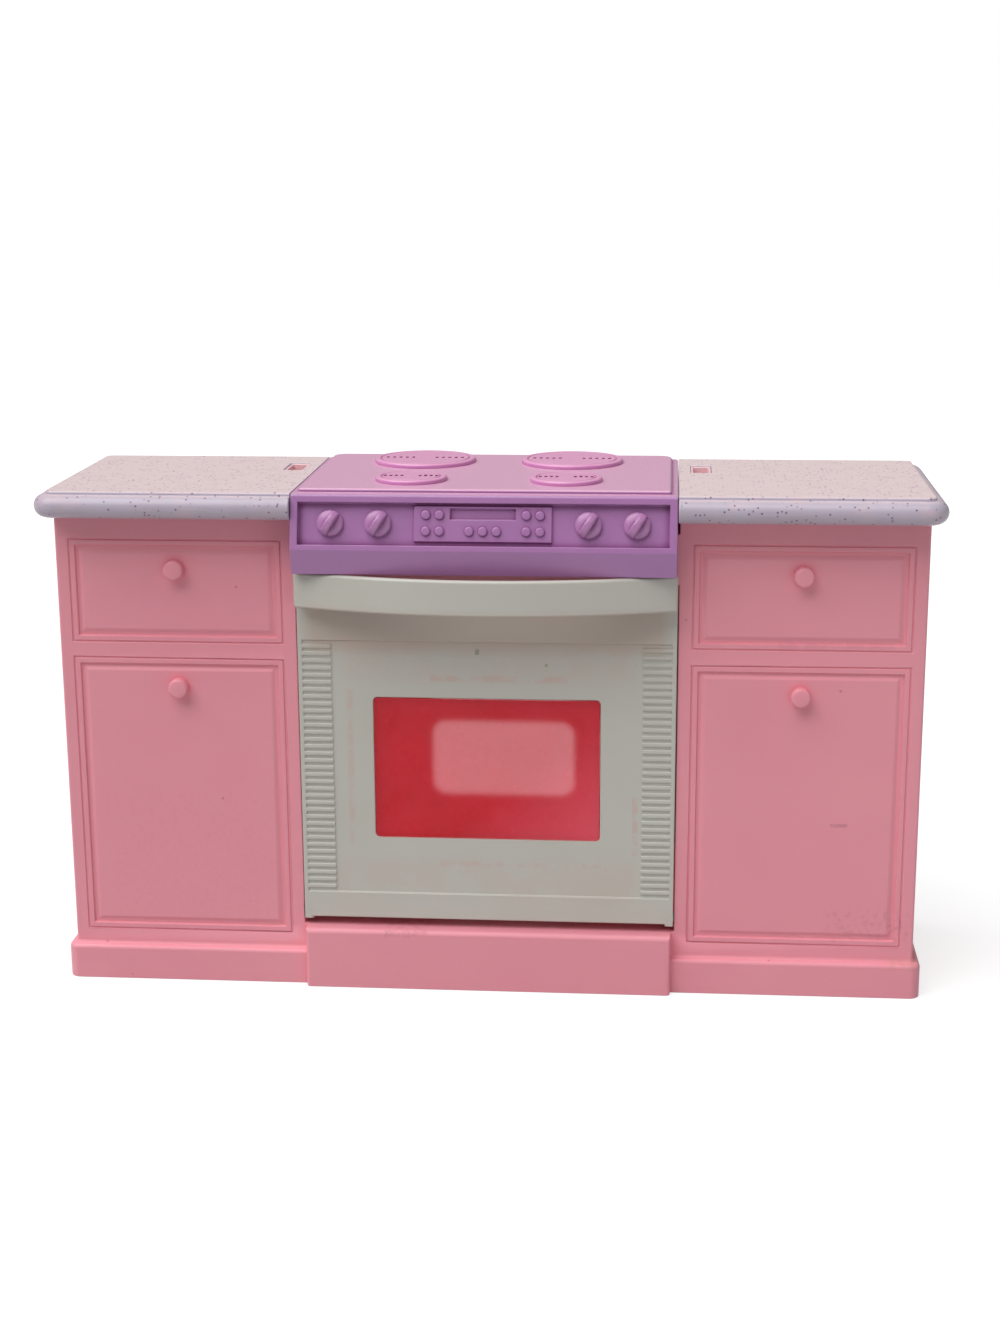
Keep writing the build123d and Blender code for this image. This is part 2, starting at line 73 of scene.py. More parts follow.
def easedSteps(start, end, startDepth, endDepth, steps):
    # points that ease from one depth to another
    points = []
    for step in range(steps + 1):
        share = step / steps
        eased = (1 - math.cos(math.pi * share)) / 2
        depth = startDepth + (endDepth - startDepth) * eased
        points.append((start + (end - start) * share, depth))
    return points


def roundedOutline(corners, steps=6):
    # corners are (u, v, radius); a radius of 0 keeps the corner sharp
    points = []
    count = len(corners)
    for index, (u, v, radius) in enumerate(corners):
        here = Vector((u, v))
        if radius <= 0:
            points.append((u, v))
            continue
        before = (Vector(corners[index - 1][:2]) - here).normalized()
        after = (Vector(corners[(index + 1) % count][:2]) - here).normalized()
        half = before.angle(after) / 2
        reach = radius / math.tan(half)
        centre = here + (before + after).normalized() * (radius / math.sin(half))
        start = here + before * reach - centre
        end = here + after * reach - centre
        turn = start.angle_signed(end)
        for step in range(steps + 1):
            angle = -turn * step / steps
            cosine = math.cos(angle)
            sine = math.sin(angle)
            x = centre.x + start.x * cosine - start.y * sine
            y = centre.y + start.x * sine + start.y * cosine
            points.append((x, y))
    return points


def rectangle(x, y, radii, steps=6):
    # radii start at the low left corner and go round counter-clockwise
    corners = ((x[0], y[0]), (x[1], y[0]), (x[1], y[1]), (x[0], y[1]))
    return roundedOutline([(u, v, radius) for (u, v), radius in zip(corners, radii)], steps)


def windowOutline(halfWidth, low, high, radius, steps=6):
    return rectangle((-halfWidth, halfWidth), (low, high), (radius,) * 4, steps)


def sided(side, near, far):
    # a span of x on the left (side -1) or the right (side 1)
    return sorted((side * near, side * far))


def pick(piece, names):
    return [piece[name] for name in names.split()]


over = 1.0  # how far a cutter, or a piece that joins another, reaches past a face
lap = 0.01  # keeps a cut from ending on a face
tip = 0.01  # radius of the small flat that closes a lathe's end
noiseRange = (0.3, 0.7)  # where most values of a noise lie


# Mesh helpers

def newObject(name, data):
    made = bpy.data.objects.new(name, data)
    bpy.context.scene.collection.objects.link(made)
    return made


def objectFrom(name, work):
    mesh = bpy.data.meshes.new(name)
    work.to_mesh(mesh)
    work.free()
    return newObject(name, mesh)


def finishMesh(name, work):
    bmesh.ops.remove_doubles(work, verts=work.verts, dist=1e-5)
    bmesh.ops.recalc_face_normals(work, faces=work.faces)
    return objectFrom(name, work)


blockFaces = ((0, 1, 3, 2), (4, 6, 7, 5), (0, 4, 5, 1), (2, 3, 7, 6), (0, 2, 6, 4), (1, 5, 7, 3))


def blockObject(name, x, y, z):
    work = bmesh.new()
    corners = [work.verts.new((u, v, w)) for u in x for v in y for w in z]
    for face in blockFaces:
        work.faces.new([corners[index] for index in face])
    return finishMesh(name, work)


def prismObject(name, outline, low, high, place):
    # place(u, v, w) says where an outline point at height w goes
    work = bmesh.new()
    bottom = [work.verts.new(place(u, v, low)) for u, v in outline]
    top = [work.verts.new(place(u, v, high)) for u, v in outline]
    work.faces.new(bottom)
    work.faces.new(list(reversed(top)))
    count = len(outline)
    for index in range(count):
        after = (index + 1) % count
        work.faces.new((bottom[index], top[index], top[after], bottom[after]))
    return finishMesh(name, work)


def alongX(u, v, w):
    # outline in y and z
    return (w, u, v)


def alongY(u, v, w):
    # outline in x and z
    return (u, w, v)


def alongZ(u, v, w):
    return (u, v, w)


def discObject(name, radius, low, high, place, middle, steps=40):
    outline = arcPoints(middle, radius, 0, 360 - 360 / steps, steps - 1)
    return prismObject(name, outline, low, high, place)


def loopsObject(name, loops, closed=False):
    # joins rings of points with quads; closed joins the last ring to the first
    work = bmesh.new()
    rings = [[work.verts.new(point) for point in loop] for loop in loops]
    count = len(rings[0])
    pairs = list(zip(rings, rings[1:]))
    if closed:
        pairs.append((rings[-1], rings[0]))
    for near, far in pairs:
        for index in range(count):
            after = (index + 1) % count
            work.faces.new((near[index], near[after], far[after], far[index]))
    if not closed:
        work.faces.new(list(reversed(rings[0])))
        work.faces.new(rings[-1])
    return finishMesh(name, work)


def lathe(name, profile, steps):
    # profile is (radius, height) from the bottom up; a flat face closes each end
    loops = []
    for radius, height in profile:
        ring = []
        for step in range(steps):
            angle = 2 * math.pi * step / steps
            ring.append((radius * math.cos(angle), radius * math.sin(angle), height))
        loops.append(ring)
    return loopsObject(name, loops)


def sweepRoute(route):
    # outward directions along a plan route, mitred where it bends
    directions = []
    for index, point in enumerate(route):
        sides = []
        if index > 0:
            back = (Vector(point) - Vector(route[index - 1])).normalized()
            sides.append(Vector((back.y, -back.x)))
        if index < len(route) - 1:
            ahead = (Vector(route[index + 1]) - Vector(point)).normalized()
            sides.append(Vector((ahead.y, -ahead.x)))
        side = sum(sides, Vector((0, 0))).normalized()
        directions.append(side / side.dot(sides[0]))
    return directions


def sweepObject(name, section, route):
    # section is (out, height), carried along a route of (x, y); out is to the right of travel
    loops = []
    for (x, y), out in zip(route, sweepRoute(route)):
        loops.append([(x + out.x * u, y + out.y * u, v) for u, v in section])
    return loopsObject(name, loops)


def roundedSlab(name, x, y, z, cornerRadii, topRound, steps):
    # a slab with round corners in plan, front and back, and a rounded top edge
    sharpest = 0.05
    levels = [(0, z[0])]
    for u, v in arcPoints((0, 0), topRound, 0, 90, 5):
        levels.append((topRound - u, z[1] - topRound + v))
    loops = []
    for inset, level in levels:
        front, back = [max(radius - inset, sharpest) for radius in cornerRadii]
        spanX = (x[0] + inset, x[1] - inset)
        spanY = (y[0] + inset, y[1] - inset)
        outline = rectangle(spanX, spanY, (front, front, back, back), steps)
        loops.append([(u, v, level) for u, v in outline])
    return loopsObject(name, loops)


def evaluated(made):
    # the object's mesh with its modifiers applied, kept under the same object
    graph = bpy.context.evaluated_depsgraph_get()
    mesh = bpy.data.meshes.new_from_object(made.evaluated_get(graph))
    old = made.data
    made.modifiers.clear()
    made.data = mesh
    bpy.data.meshes.remove(old)
    return made


def combine(base, others, operation):
    for other in others:
        change = base.modifiers.new(operation, "BOOLEAN")
        change.operation = operation
        change.solver = "EXACT"
        change.object = other
        evaluated(base)
        bpy.data.objects.remove(other)


def cut(base, *others):
    combine(base, others, "DIFFERENCE")


def unite(base, *others):
    combine(base, others, "UNION")


def keepInside(base, other):
    combine(base, (other,), "INTERSECT")


def joinMeshes(base, *others):
    work = bmesh.new()
    work.from_mesh(base.data)
    for other in others:
        work.from_mesh(other.data)
        bpy.data.objects.remove(other)
    work.to_mesh(base.data)
    work.free()
    return base


def mirrorX(made, name):
    work = bmesh.new()
    work.from_mesh(made.data)
    bmesh.ops.scale(work, vec=(-1, 1, 1), verts=work.verts)
    bmesh.ops.reverse_faces(work, faces=work.faces)
    return objectFrom(name, work)


def cleanFlats(made):
    # one face for each flat that the cuts have left in pieces
    flat = math.radians(0.5)
    work = bmesh.new()
    work.from_mesh(made.data)
    bmesh.ops.remove_doubles(work, verts=work.verts, dist=1e-4)
    bmesh.ops.dissolve_limit(work, angle_limit=flat, verts=work.verts, edges=work.edges)
    work.to_mesh(made.data)
    work.free()


def insideOutline(point, outline):
    # even-odd rule, so that a hole joined to the rim by a slit stays a hole
    inside = False
    for low, high in zip(outline, outline[1:] + outline[:1]):
        if (low.y > point.y) != (high.y > point.y):
            share = (point.y - low.y) / (high.y - low.y)
            if point.x < low.x + share * (high.x - low.x):
                inside = not inside
    return inside


def splitFlats(made):
    # a face with so many corners that it folds over itself is split into clean triangles
    smallest = 0.5  # square millimetres of fold that are left alone
    old = made.data
    old.calc_loop_triangles()
    folded = set()
    for triangle in old.loop_triangles:
        facing = triangle.normal.dot(old.polygons[triangle.polygon_index].normal)
        if triangle.area > smallest and facing < 0:
            folded.add(triangle.polygon_index)
    shading = [tuple(corner.vector) for corner in old.corner_normals]
    places = [vertex.co.copy() for vertex in old.vertices]
    faces = []
    normals = []
    for face in old.polygons:
        around = list(face.vertices)
        own = [shading[corner] for corner in face.loop_indices]
        pieces = [range(len(around))]
        if face.index in folded:
            turn = face.normal.to_track_quat("Z", "Y").to_matrix().transposed()
            flat = [turn @ places[index] for index in around]
            corners, _, triangles, sources, _, _ = delaunay_2d_cdt(
                [corner.to_2d() for corner in flat], [], pieces, 1, 1e-4
            )
            # where two sides of the outline cross, the crossing becomes a corner of its own
            named = [source[0] if source else None for source in sources]
            for index, corner in enumerate(corners):
                if named[index] is None:
                    named[index] = len(around)
                    around.append(len(places))
                    own.append(tuple(face.normal))
                    places.append(turn.transposed() @ Vector((corner.x, corner.y, flat[0].z)))
            pieces = []
            for triangle in triangles:
                middle = sum((corners[index] for index in triangle), Vector((0, 0))) / 3
                if insideOutline(middle, flat):
                    pieces.append([named[index] for index in triangle])
        for piece in pieces:
            faces.append([around[index] for index in piece])
            normals += [own[index] for index in piece]
    mesh = bpy.data.meshes.new(old.name)
    mesh.from_pydata(places, [], faces)
    mesh.shade_smooth()
    mesh.normals_split_custom_set(normals)
    made.data = mesh
    return made


def soften(made, width, segments=3, angle=32):
    # rounds the moulded edges; the flats keep their own normals
    cleanFlats(made)
    made.data.shade_smooth()
    rounding = made.modifiers.new("roundEdges", "BEVEL")
    rounding.width = width
    rounding.segments = segments
    rounding.limit_method = "ANGLE"
    rounding.angle_limit = math.radians(angle)
    rounding.use_clamp_overlap = False
    weighting = made.modifiers.new("flatFlats", "WEIGHTED_NORMAL")
    weighting.keep_sharp = True
    return splitFlats(evaluated(made))


def smoothShade(made, angle=35):
    made.data.shade_smooth()
    made.data.set_sharp_from_angle(angle=math.radians(angle))
    return made


def settle(made, body, replaced, material):
    # millimetres at the cabinet face become metres in the frame
    made.data.transform(Matrix.Translation((0, faceY, 0)) @ Matrix.Scale(millimetre, 4))
    made.data.materials.clear()
    made.data.materials.append(material)
    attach(made, body)
    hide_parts(*replaced)


# Node helpers

def fillInputs(tree, node, values):
    # inputs by name or number: a socket is linked, anything else is set
    for name, value in values.items():
        if isinstance(value, bpy.types.NodeSocket):
            tree.links.new(value, node.inputs[name])
        else:
            node.inputs[name].default_value = value


def addNode(tree, kind, values=(), **settings):
    node = tree.nodes.new(kind)
    for name, value in settings.items():
        setattr(node, name, value)
    fillInputs(tree, node, dict(values))
    return node


def linearColour(red, green, blue):
    # display values from 0 to 255 as scene-linear colour
    made = []
    for value in (red, green, blue):
        share = value / 255
        made.append(share / 12.92 if share <= 0.04045 else ((share + 0.055) / 1.055) ** 2.4)
    return (*made, 1)


def objectPoint(tree):
    return addNode(tree, "ShaderNodeTexCoord").outputs["Object"]


def splitVector(tree, vector):
    return addNode(tree, "ShaderNodeSeparateXYZ", {"Vector": vector}).outputs


def noiseValue(tree, point, scale, detail=3.0, roughness=0.55):
    values = {"Vector": point, "Scale": scale, "Detail": detail, "Roughness": roughness}
    return addNode(tree, "ShaderNodeTexNoise", values).outputs["Fac"]


def remap(tree, value, low, high, toLow, toHigh):
    names = ("Value", "From Min", "From Max", "To Min", "To Max")
    values = zip(names, (value, low, high, toLow, toHigh))
    return addNode(tree, "ShaderNodeMapRange", values).outputs["Result"]


def mixColour(tree, amount, first, second, blend="MIX"):
    values = {"Factor": amount, 6: first, 7: second}
    node = addNode(tree, "ShaderNodeMix", values, data_type="RGBA", blend_type=blend)
    return node.outputs[2]


def mathNode(tree, operation, *values, clamp=False):
    numbered = enumerate(values)
    node = addNode(tree, "ShaderNodeMath", numbered, operation=operation, use_clamp=clamp)
    return node.outputs[0]


def newMaterial(name):
    material = bpy.data.materials.new(name)
    material.use_nodes = True
    tree = material.node_tree
    tree.nodes.clear()
    shader = addNode(tree, "ShaderNodeBsdfPrincipled")
    output = addNode(tree, "ShaderNodeOutputMaterial", {"Surface": shader.outputs["BSDF"]})
    return material, tree, shader, output


def finishSurface(tree, shader, look, colour, fine, height):
    # fine noise varies the roughness, and the height makes a bump
    depth = look["bumpDepth"] * millimetre
    values = {"Height": height, "Strength": look["bump"], "Distance": depth}
    bump = addNode(tree, "ShaderNodeBump", values)
    values = {
        "Base Color": colour,
        "Roughness": remap(tree, fine, *noiseRange, *look["roughness"]),
        "Normal": bump.outputs["Normal"],
    }
    fillInputs(tree, shader, values)


# Geometry Nodes: copies of a piece along a line

def lineTree():
    tree = bpy.data.node_groups.new("copiesAlongLine", "GeometryNodeTree")
    for name, kind in (
        ("Count", "Int"),
        ("Start", "Vector"),
        ("Step", "Vector"),
        ("Piece", "Object"),
        ("Material", "Material"),
    ):
        tree.interface.new_socket(name=name, in_out="INPUT", socket_type="NodeSocket" + kind)
    tree.interface.new_socket(name="Geometry", in_out="OUTPUT", socket_type="NodeSocketGeometry")
    given = tree.nodes.new("NodeGroupInput").outputs
    values = {"Count": given["Count"], "Start Location": given["Start"], "Offset": given["Step"]}
    line = addNode(tree, "GeometryNodeMeshLine", values)
    piece = addNode(tree, "GeometryNodeObjectInfo", {"Object": given["Piece"]})
    values = {"Points": line.outputs["Mesh"], "Instance": piece.outputs["Geometry"]}
    place = addNode(tree, "GeometryNodeInstanceOnPoints", values)
    values = {"Geometry": place.outputs["Instances"]}
    realise = addNode(tree, "GeometryNodeRealizeInstances", values)
    values = {"Geometry": realise.outputs["Geometry"], "Material": given["Material"]}
    paint = addNode(tree, "GeometryNodeSetMaterial", values)
    addNode(tree, "NodeGroupOutput", {"Geometry": paint.outputs["Geometry"]})
    return tree


copiesAlongLine = lineTree()


def repeatAlong(piece, count, start, step, material):
    # the copies as one plain mesh; the piece itself stays for the next row
    made = newObject(piece.name + "Row", bpy.data.meshes.new(piece.name + "Row"))
    copies = made.modifiers.new("copies", "NODES")
    copies.node_group = copiesAlongLine
    values = {"Count": count, "Start": start, "Step": step, "Piece": piece, "Material": material}
    for item in copiesAlongLine.interface.items_tree:
        if item.in_out == "INPUT":
            copies[item.identifier] = values[item.name]
    return evaluated(made)


# Moulded plastic, in the colours of the pieces

def addPatch(tree, point, below, x, z, halfX, halfZ, colour, amount, soft, breakup, gap):
    # a soft patch on the front, in millimetres of x and z, broken up by noise
    parts = splitVector(tree, point)
    sides = []
    for axis, middle, half in (("X", x, halfX), ("Z", z, halfZ)):
        away = mathNode(tree, "SUBTRACT", parts[axis], middle * millimetre)
        away = mathNode(tree, "ABSOLUTE", away)
        reach = (half + soft) * millimetre
        sides.append(remap(tree, away, half * millimetre, reach, 1.0, 0.0))
    mask = mathNode(tree, "MULTIPLY", *sides)
    fadeIn = 0.2
    broken = noiseValue(tree, point, breakup, 4.0, 0.7)
    shown = remap(tree, broken, gap, gap + fadeIn, 0.0, amount)
    return mixColour(tree, mathNode(tree, "MULTIPLY", mask, shown, clamp=True), below, colour)


def addSpecks(tree, point, below, colour, amount, scale, radius, share):
    # round dots in the cells of a Voronoi pattern, kept in a share of the cells
    values = {"Vector": point, "Scale": scale, "Randomness": 1.0}
    cells = addNode(tree, "ShaderNodeTexVoronoi", values).outputs
    softFrom = radius * 0.7
    dot = remap(tree, cells["Distance"], softFrom, radius, 1.0, 0.0)
    draw = addNode(tree, "ShaderNodeSeparateColor", {"Color": cells["Color"]})
    chosen = mathNode(tree, "LESS_THAN", draw.outputs["Red"], share)
    mask = mathNode(tree, "MULTIPLY", dot, chosen, clamp=True)
    return mixColour(tree, mathNode(tree, "MULTIPLY", mask, amount), below, colour)


def addClouds(tree, point, below, colour, amount, low, high, scale, detail, roughness):
    # a second colour where the noise rises from low to high
    noise = noiseValue(tree, point, scale, detail, roughness)
    return mixColour(tree, remap(tree, noise, low, high, 0.0, amount), below, colour)


def fadedAbove(tree, point, below, topLight):
    # painted light: faces that look up, high on the piece, get a paler colour, as if lit from above
    low, high = [height * millimetre for height in topLight["between"]]
    amount = remap(tree, splitVector(tree, point)["Z"], low, high, 0.0, topLight["amount"])
    normal = addNode(tree, "ShaderNodeTexCoord").outputs["Normal"]
    upward = remap(tree, splitVector(tree, normal)["Z"], *topLight["facing"], 0.0, 1.0)
    return mixColour(tree, mathNode(tree, "MULTIPLY", amount, upward), below, topLight["colour"])


def deeperInCreases(tree, below, crease):
    # painted shade: where the piece's own surfaces close round a point, in creases, recesses and
    # corners, the colour is painted darker and deeper
    closed = 0.45
    clear = 0.92
    reach = {"Distance": crease["reach"] * millimetre}
    openness = addNode(tree, "ShaderNodeAmbientOcclusion", reach, samples=8, only_local=True)
    amount = remap(tree, openness.outputs["AO"], closed, clear, crease["amount"], 0.0)
    return mixColour(tree, amount, below, crease["shadeTint"], "MULTIPLY")


def mouldedPlastic(name, look):
    material, tree, shader, _ = newMaterial(name)
    point = objectPoint(tree)
    colour = addClouds(tree, point, look["colour"], *look["clouds"])
    # painted light: a paler colour on the upward top faces
    if "topLight" in look:
        colour = fadedAbove(tree, point, colour, look["topLight"])
    colour = addClouds(tree, point, colour, *look["scuffs"])
    colour = addSpecks(tree, point, colour, *look["specks"])
    for patch in look["patches"]:
        colour = addPatch(tree, point, colour, *patch)
    # painted shade in creases and recesses
    if "crease" in look:
        colour = deeperInCreases(tree, colour, look["crease"])
    fine = noiseValue(tree, point, look["grainScale"], 4.0)
    waves = noiseValue(tree, point, look["waveScale"], 1.0)
    height = mathNode(tree, "ADD", mathNode(tree, "MULTIPLY", waves, look["wave"]), fine)
    finishSurface(tree, shader, look, colour, fine, height)
    values = {
        "Specular IOR Level": look["gloss"],
        "Subsurface Weight": look["translucency"],
        "Subsurface Scale": look["translucentDepth"] * millimetre,
        "Subsurface Radius": look["spread"],
    }
    fillInputs(tree, shader, values)
    return material


# Clouds, scuffs and streaks are colour, amount, the noise values between which they appear, and
# the noise's scale, detail and roughness. Specks are colour, amount, scale, radius and share of the
# cells. Patches are x, z, half width, half height, colour, amount, width of the soft edge, and the
# scale and gap of the noise that breaks them up.

moulded = {
    "grainScale": 900.0,
    "wave": 1.2,
    "bump": 0.1,
    "bumpDepth": 0.12,
    "translucentDepth": 0.7,
    "patches": [],
}
darkSmear = linearColour(150, 80, 105)
dirt = linearColour(190, 150, 110)
palePink = linearColour(255, 222, 226)
pinkMark = linearColour(176, 100, 128)
pinkLook = moulded | {
    "colour": linearColour(247, 163, 176),
    "clouds": (linearColour(243, 157, 172), 1.0, 0.3, 0.7, 22.0, 2.0, 0.55),
    "waveScale": 60.0,
    "wave": 1.5,
    "scuffs": (pinkMark, 0.35, 0.72, 0.78, 260.0, 6.0, 0.7),
    "specks": (pinkMark, 0.5, 110.0, 0.05, 0.35),
    "roughness": (0.37, 0.49),
    "bump": 0.12,
    "gloss": 0.45,
    "translucency": 0.12,
    "spread": (1.0, 0.35, 0.35),
    # painted shade in the pink moulding's creases
    "crease": {"reach": 2.0, "amount": 0.35, "shadeTint": (1.0, 0.62, 0.66, 1)},
    "patches": [
        (102.5, 52.5, 2.2, 0.25, darkSmear, 0.35, 0.5, 400.0, 0.3),
        (100.0, 106.0, 16.0, 0.5, darkSmear, 0.1, 1.0, 260.0, 0.35),
        (112.0, 22.0, 10.0, 3.0, darkSmear, 0.25, 4.0, 500.0, 0.5),
        # a faint, broken-up darkening over the left cupboard front
        (-90.0, 40.0, 20.0, 16.0, darkSmear, 0.07, 12.0, 700.0, 0.5),
        (-24.0, 17.6, 6.0, 0.7, darkSmear, 0.28, 0.8, 500.0, 0.45),
        (123.0, 10.4, 4.0, 0.4, dirt, 0.3, 1.6, 500.0, 0.4),
        (-61.4, 149.0, 3.2, 1.6, palePink, 0.9, 1.0, 260.0, 0.0),
        (61.4, 149.0, 3.2, 1.6, palePink, 0.9, 1.0, 260.0, 0.0),
    ],
}
purpleMark = linearColour(170, 104, 160)
purpleLook = moulded | {
    "colour": linearColour(182, 127, 182),
    "clouds": (linearColour(176, 122, 178), 1.0, 0.3, 0.7, 35.0, 2.0, 0.55),
    # painted light: the hob top and the ledge in front of it, which look up, are painted paler and
    # pinker
    "topLight": {
        "between": (149.75, 150.05),
        "facing": (0.2, 0.7),
        "amount": 0.9,
        "colour": linearColour(236, 182, 210),
    },
    "waveScale": 90.0,
    "scuffs": (purpleMark, 0.25, 0.74, 0.8, 300.0, 6.0, 0.7),
    "specks": (purpleMark, 0.35, 160.0, 0.05, 0.3),
    "roughness": (0.28, 0.4),
    "gloss": 0.65,
    "translucency": 0.1,
    "spread": (0.9, 0.3, 0.8),
    # painted shade in the purple moulding's creases and at its recess edges
    "crease": {"reach": 2.5, "amount": 1.0, "shadeTint": (0.55, 0.24, 0.46, 1)},
}
burnerLook = purpleLook | {
    "colour": linearColour(214, 142, 196),
    "clouds": (linearColour(210, 138, 193), 1.0, 0.3, 0.7, 35.0, 2.0, 0.55),
    # painted light: the tops of the burner plates are painted paler
    "topLight": {
        "between": (151.5, 152.4),
        "facing": (0.2, 0.7),
        "amount": 0.85,
        "colour": linearColour(244, 178, 214),
    },
}
knobLook = purpleLook | {
    "colour": linearColour(190, 132, 184),
    "clouds": (linearColour(184, 126, 180), 1.0, 0.3, 0.7, 35.0, 2.0, 0.55),
}
# painted shade: pink where the pink parts behind the translucent white door show through
pinkShowThroughShade = linearColour(214, 150, 140)
greenMark = linearColour(110, 120, 80)
# painted shadow: warm brown shade under the handle
tan = linearColour(196, 150, 128)
whiteMark = linearColour(190, 165, 156)
whiteLook = moulded | {
    "colour": linearColour(204, 204, 195),
    "clouds": (linearColour(202, 198, 188), 1.0, 0.3, 0.7, 24.0, 2.0, 0.55),
    "grainScale": 800.0,
    "waveScale": 70.0,
    "scuffs": (whiteMark, 0.22, 0.7, 0.76, 220.0, 6.0, 0.7),
    "specks": (whiteMark, 0.3, 120.0, 0.045, 0.25),
    "roughness": (0.35, 0.47),
    "gloss": 0.5,
    "translucency": 0.08,
    "spread": (1.0, 0.8, 0.7),
    "patches": [
        # painted shade: pink lines where the window's flange behind the translucent door shows
        # through
        (3.5, 95.0, 19.5, 0.5, pinkShowThroughShade, 0.3, 0.8, 180.0, 0.35),
        (-40.0, 67.5, 0.5, 23.5, pinkShowThroughShade, 0.24, 0.9, 180.0, 0.38),
        (43.4, 51.0, 0.4, 8.5, pinkShowThroughShade, 0.34, 0.8, 180.0, 0.35),
        (9.5, 38.5, 23.5, 0.4, pinkShowThroughShade, 0.2, 0.8, 180.0, 0.38),
        (0.0, 100.5, 40.0, 4.0, pinkShowThroughShade, 0.1, 4.0, 90.0, 0.35),
        # painted shadow under the bow handle
        (0.0, 110.0, 50.0, 5.0, tan, 0.3, 4.0, 40.0, 0.1),
        # painted shade: a broad pink show-through band
        (0.0, 33.5, 42.0, 4.0, pinkShowThroughShade, 0.1, 4.0, 90.0, 0.35),
        (-2.6, 103.2, 0.4, 0.7, greenMark, 0.7, 0.4, 900.0, 0.3),
        (17.4, 99.4, 0.3, 0.3, greenMark, 0.5, 0.3, 900.0, 0.3),
    ],
}

pinkPlastic = mouldedPlastic("pinkPlastic", pinkLook)
purplePlastic = mouldedPlastic("purplePlastic", purpleLook)
knobPlastic = mouldedPlastic("knobPlastic", knobLook)
burnerPlastic = mouldedPlastic("burnerPlastic", burnerLook)
whitePlastic = mouldedPlastic("whitePlastic", whiteLook)


# Stone-look plastic: pale ground with soft blotches and purple specks

stoneLook = {
    "colour": linearColour(196, 186, 202),
    "clouds": (linearColour(190, 176, 190), 0.7, 0.35, 0.65, 60.0, 3.0, 0.55),
    "streaks": (linearColour(226, 192, 196), 0.35, 0.5, 0.75, 220.0, 3.0, 0.55),
    "streakStretch": (0.7, 1.0, 1.0),
    # painted light: the upward faces of the worktop top and belt are painted paler and warmer
    "topLight": {
        "between": (148.3, 149.8),
        "facing": (0.6, 0.97),
        "amount": 0.85,
        "colour": linearColour(252, 229, 228),
    },
    "paleSpecks": (linearColour(206, 170, 192), 0.5, 700.0, 0.3, 0.45),
    "darkSpecks": (linearColour(112, 64, 116), 0.8, 760.0, 0.28, 0.3),
    "grainScale": 900.0,
    "roughness": (0.29, 0.42),
    "bump": 0.1,
    "bumpDepth": 0.1,
}


def speckledStone(name, look):
    material, tree, shader, _ = newMaterial(name)
    point = objectPoint(tree)
    colour = addClouds(tree, point, look["colour"], *look["clouds"])
    # painted light on the upward faces
    colour = fadedAbove(tree, point, colour, look["topLight"])
    values = {"Vector": point, "Scale": look["streakStretch"]}
    stretched = addNode(tree, "ShaderNodeMapping", values).outputs["Vector"]
    colour = addClouds(tree, stretched, colour, *look["streaks"])
    colour = addSpecks(tree, point, colour, *look["paleSpecks"])
    colour = addSpecks(tree, point, colour, *look["darkSpecks"])
    fine = noiseValue(tree, point, look["grainScale"])
    finishSurface(tree, shader, look, colour, fine, fine)
    return material


speckledPlastic = speckledStone("speckledPlastic", stoneLook)


# Clear red plastic of the window, a little cloudy; shadow rays pass through it as red light

windowLook = {
    "colour": linearColour(234, 28, 54),
    "clouds": (linearColour(224, 24, 44), 1.0, 0.35, 0.65, 45.0, 2.0, 0.55),
    "pinkRed": linearColour(255, 106, 128),
    "pinkFrom": (-55.0, -15.0),
    "pinkAmount": 0.75,
    "behind": linearColour(242, 234, 238),
    "shadowTint": linearColour(235, 120, 130),
    "clear": 0.42,
    "blur": 0.34,
    "bend": 1.1,
    "grainScale": 160.0,
    "roughness": (0.17, 0.33),
    "bump": 0.08,
    "bumpDepth": 0.1,
}


def clearRed(name, look):
    material, tree, shader, output = newMaterial(name)
    point = objectPoint(tree)
    colour = addClouds(tree, point, look["colour"], *look["clouds"])
    parts = splitVector(tree, point)
    slope = mathNode(tree, "SUBTRACT", parts["X"], parts["Z"])
    low, high = [place * millimetre for place in look["pinkFrom"]]
    pink = remap(tree, slope, low, high, 0.0, look["pinkAmount"])
    colour = mixColour(tree, pink, colour, look["pinkRed"])
    fine = noiseValue(tree, point, look["grainScale"])
    finishSurface(tree, shader, look, colour, fine, fine)
    values = {"Color": look["behind"], "Roughness": look["blur"], "IOR": look["bend"]}
    behind = addNode(tree, "ShaderNodeBsdfRefraction", values)
    values = {"Fac": look["clear"], 1: shader.outputs["BSDF"], 2: behind.outputs["BSDF"]}
    cloud = addNode(tree, "ShaderNodeMixShader", values)
    through = addNode(tree, "ShaderNodeBsdfTransparent", {"Color": look["shadowTint"]})
    shadow = addNode(tree, "ShaderNodeLightPath").outputs["Is Shadow Ray"]
    values = {"Fac": shadow, 1: cloud.outputs["Shader"], 2: through.outputs["BSDF"]}
    mix = addNode(tree, "ShaderNodeMixShader", values)
    fillInputs(tree, output, {"Surface": mix.outputs["Shader"]})
    return material


redWindow = clearRed("redWindow", windowLook)
print("materials ready")


# Cabinet moulding

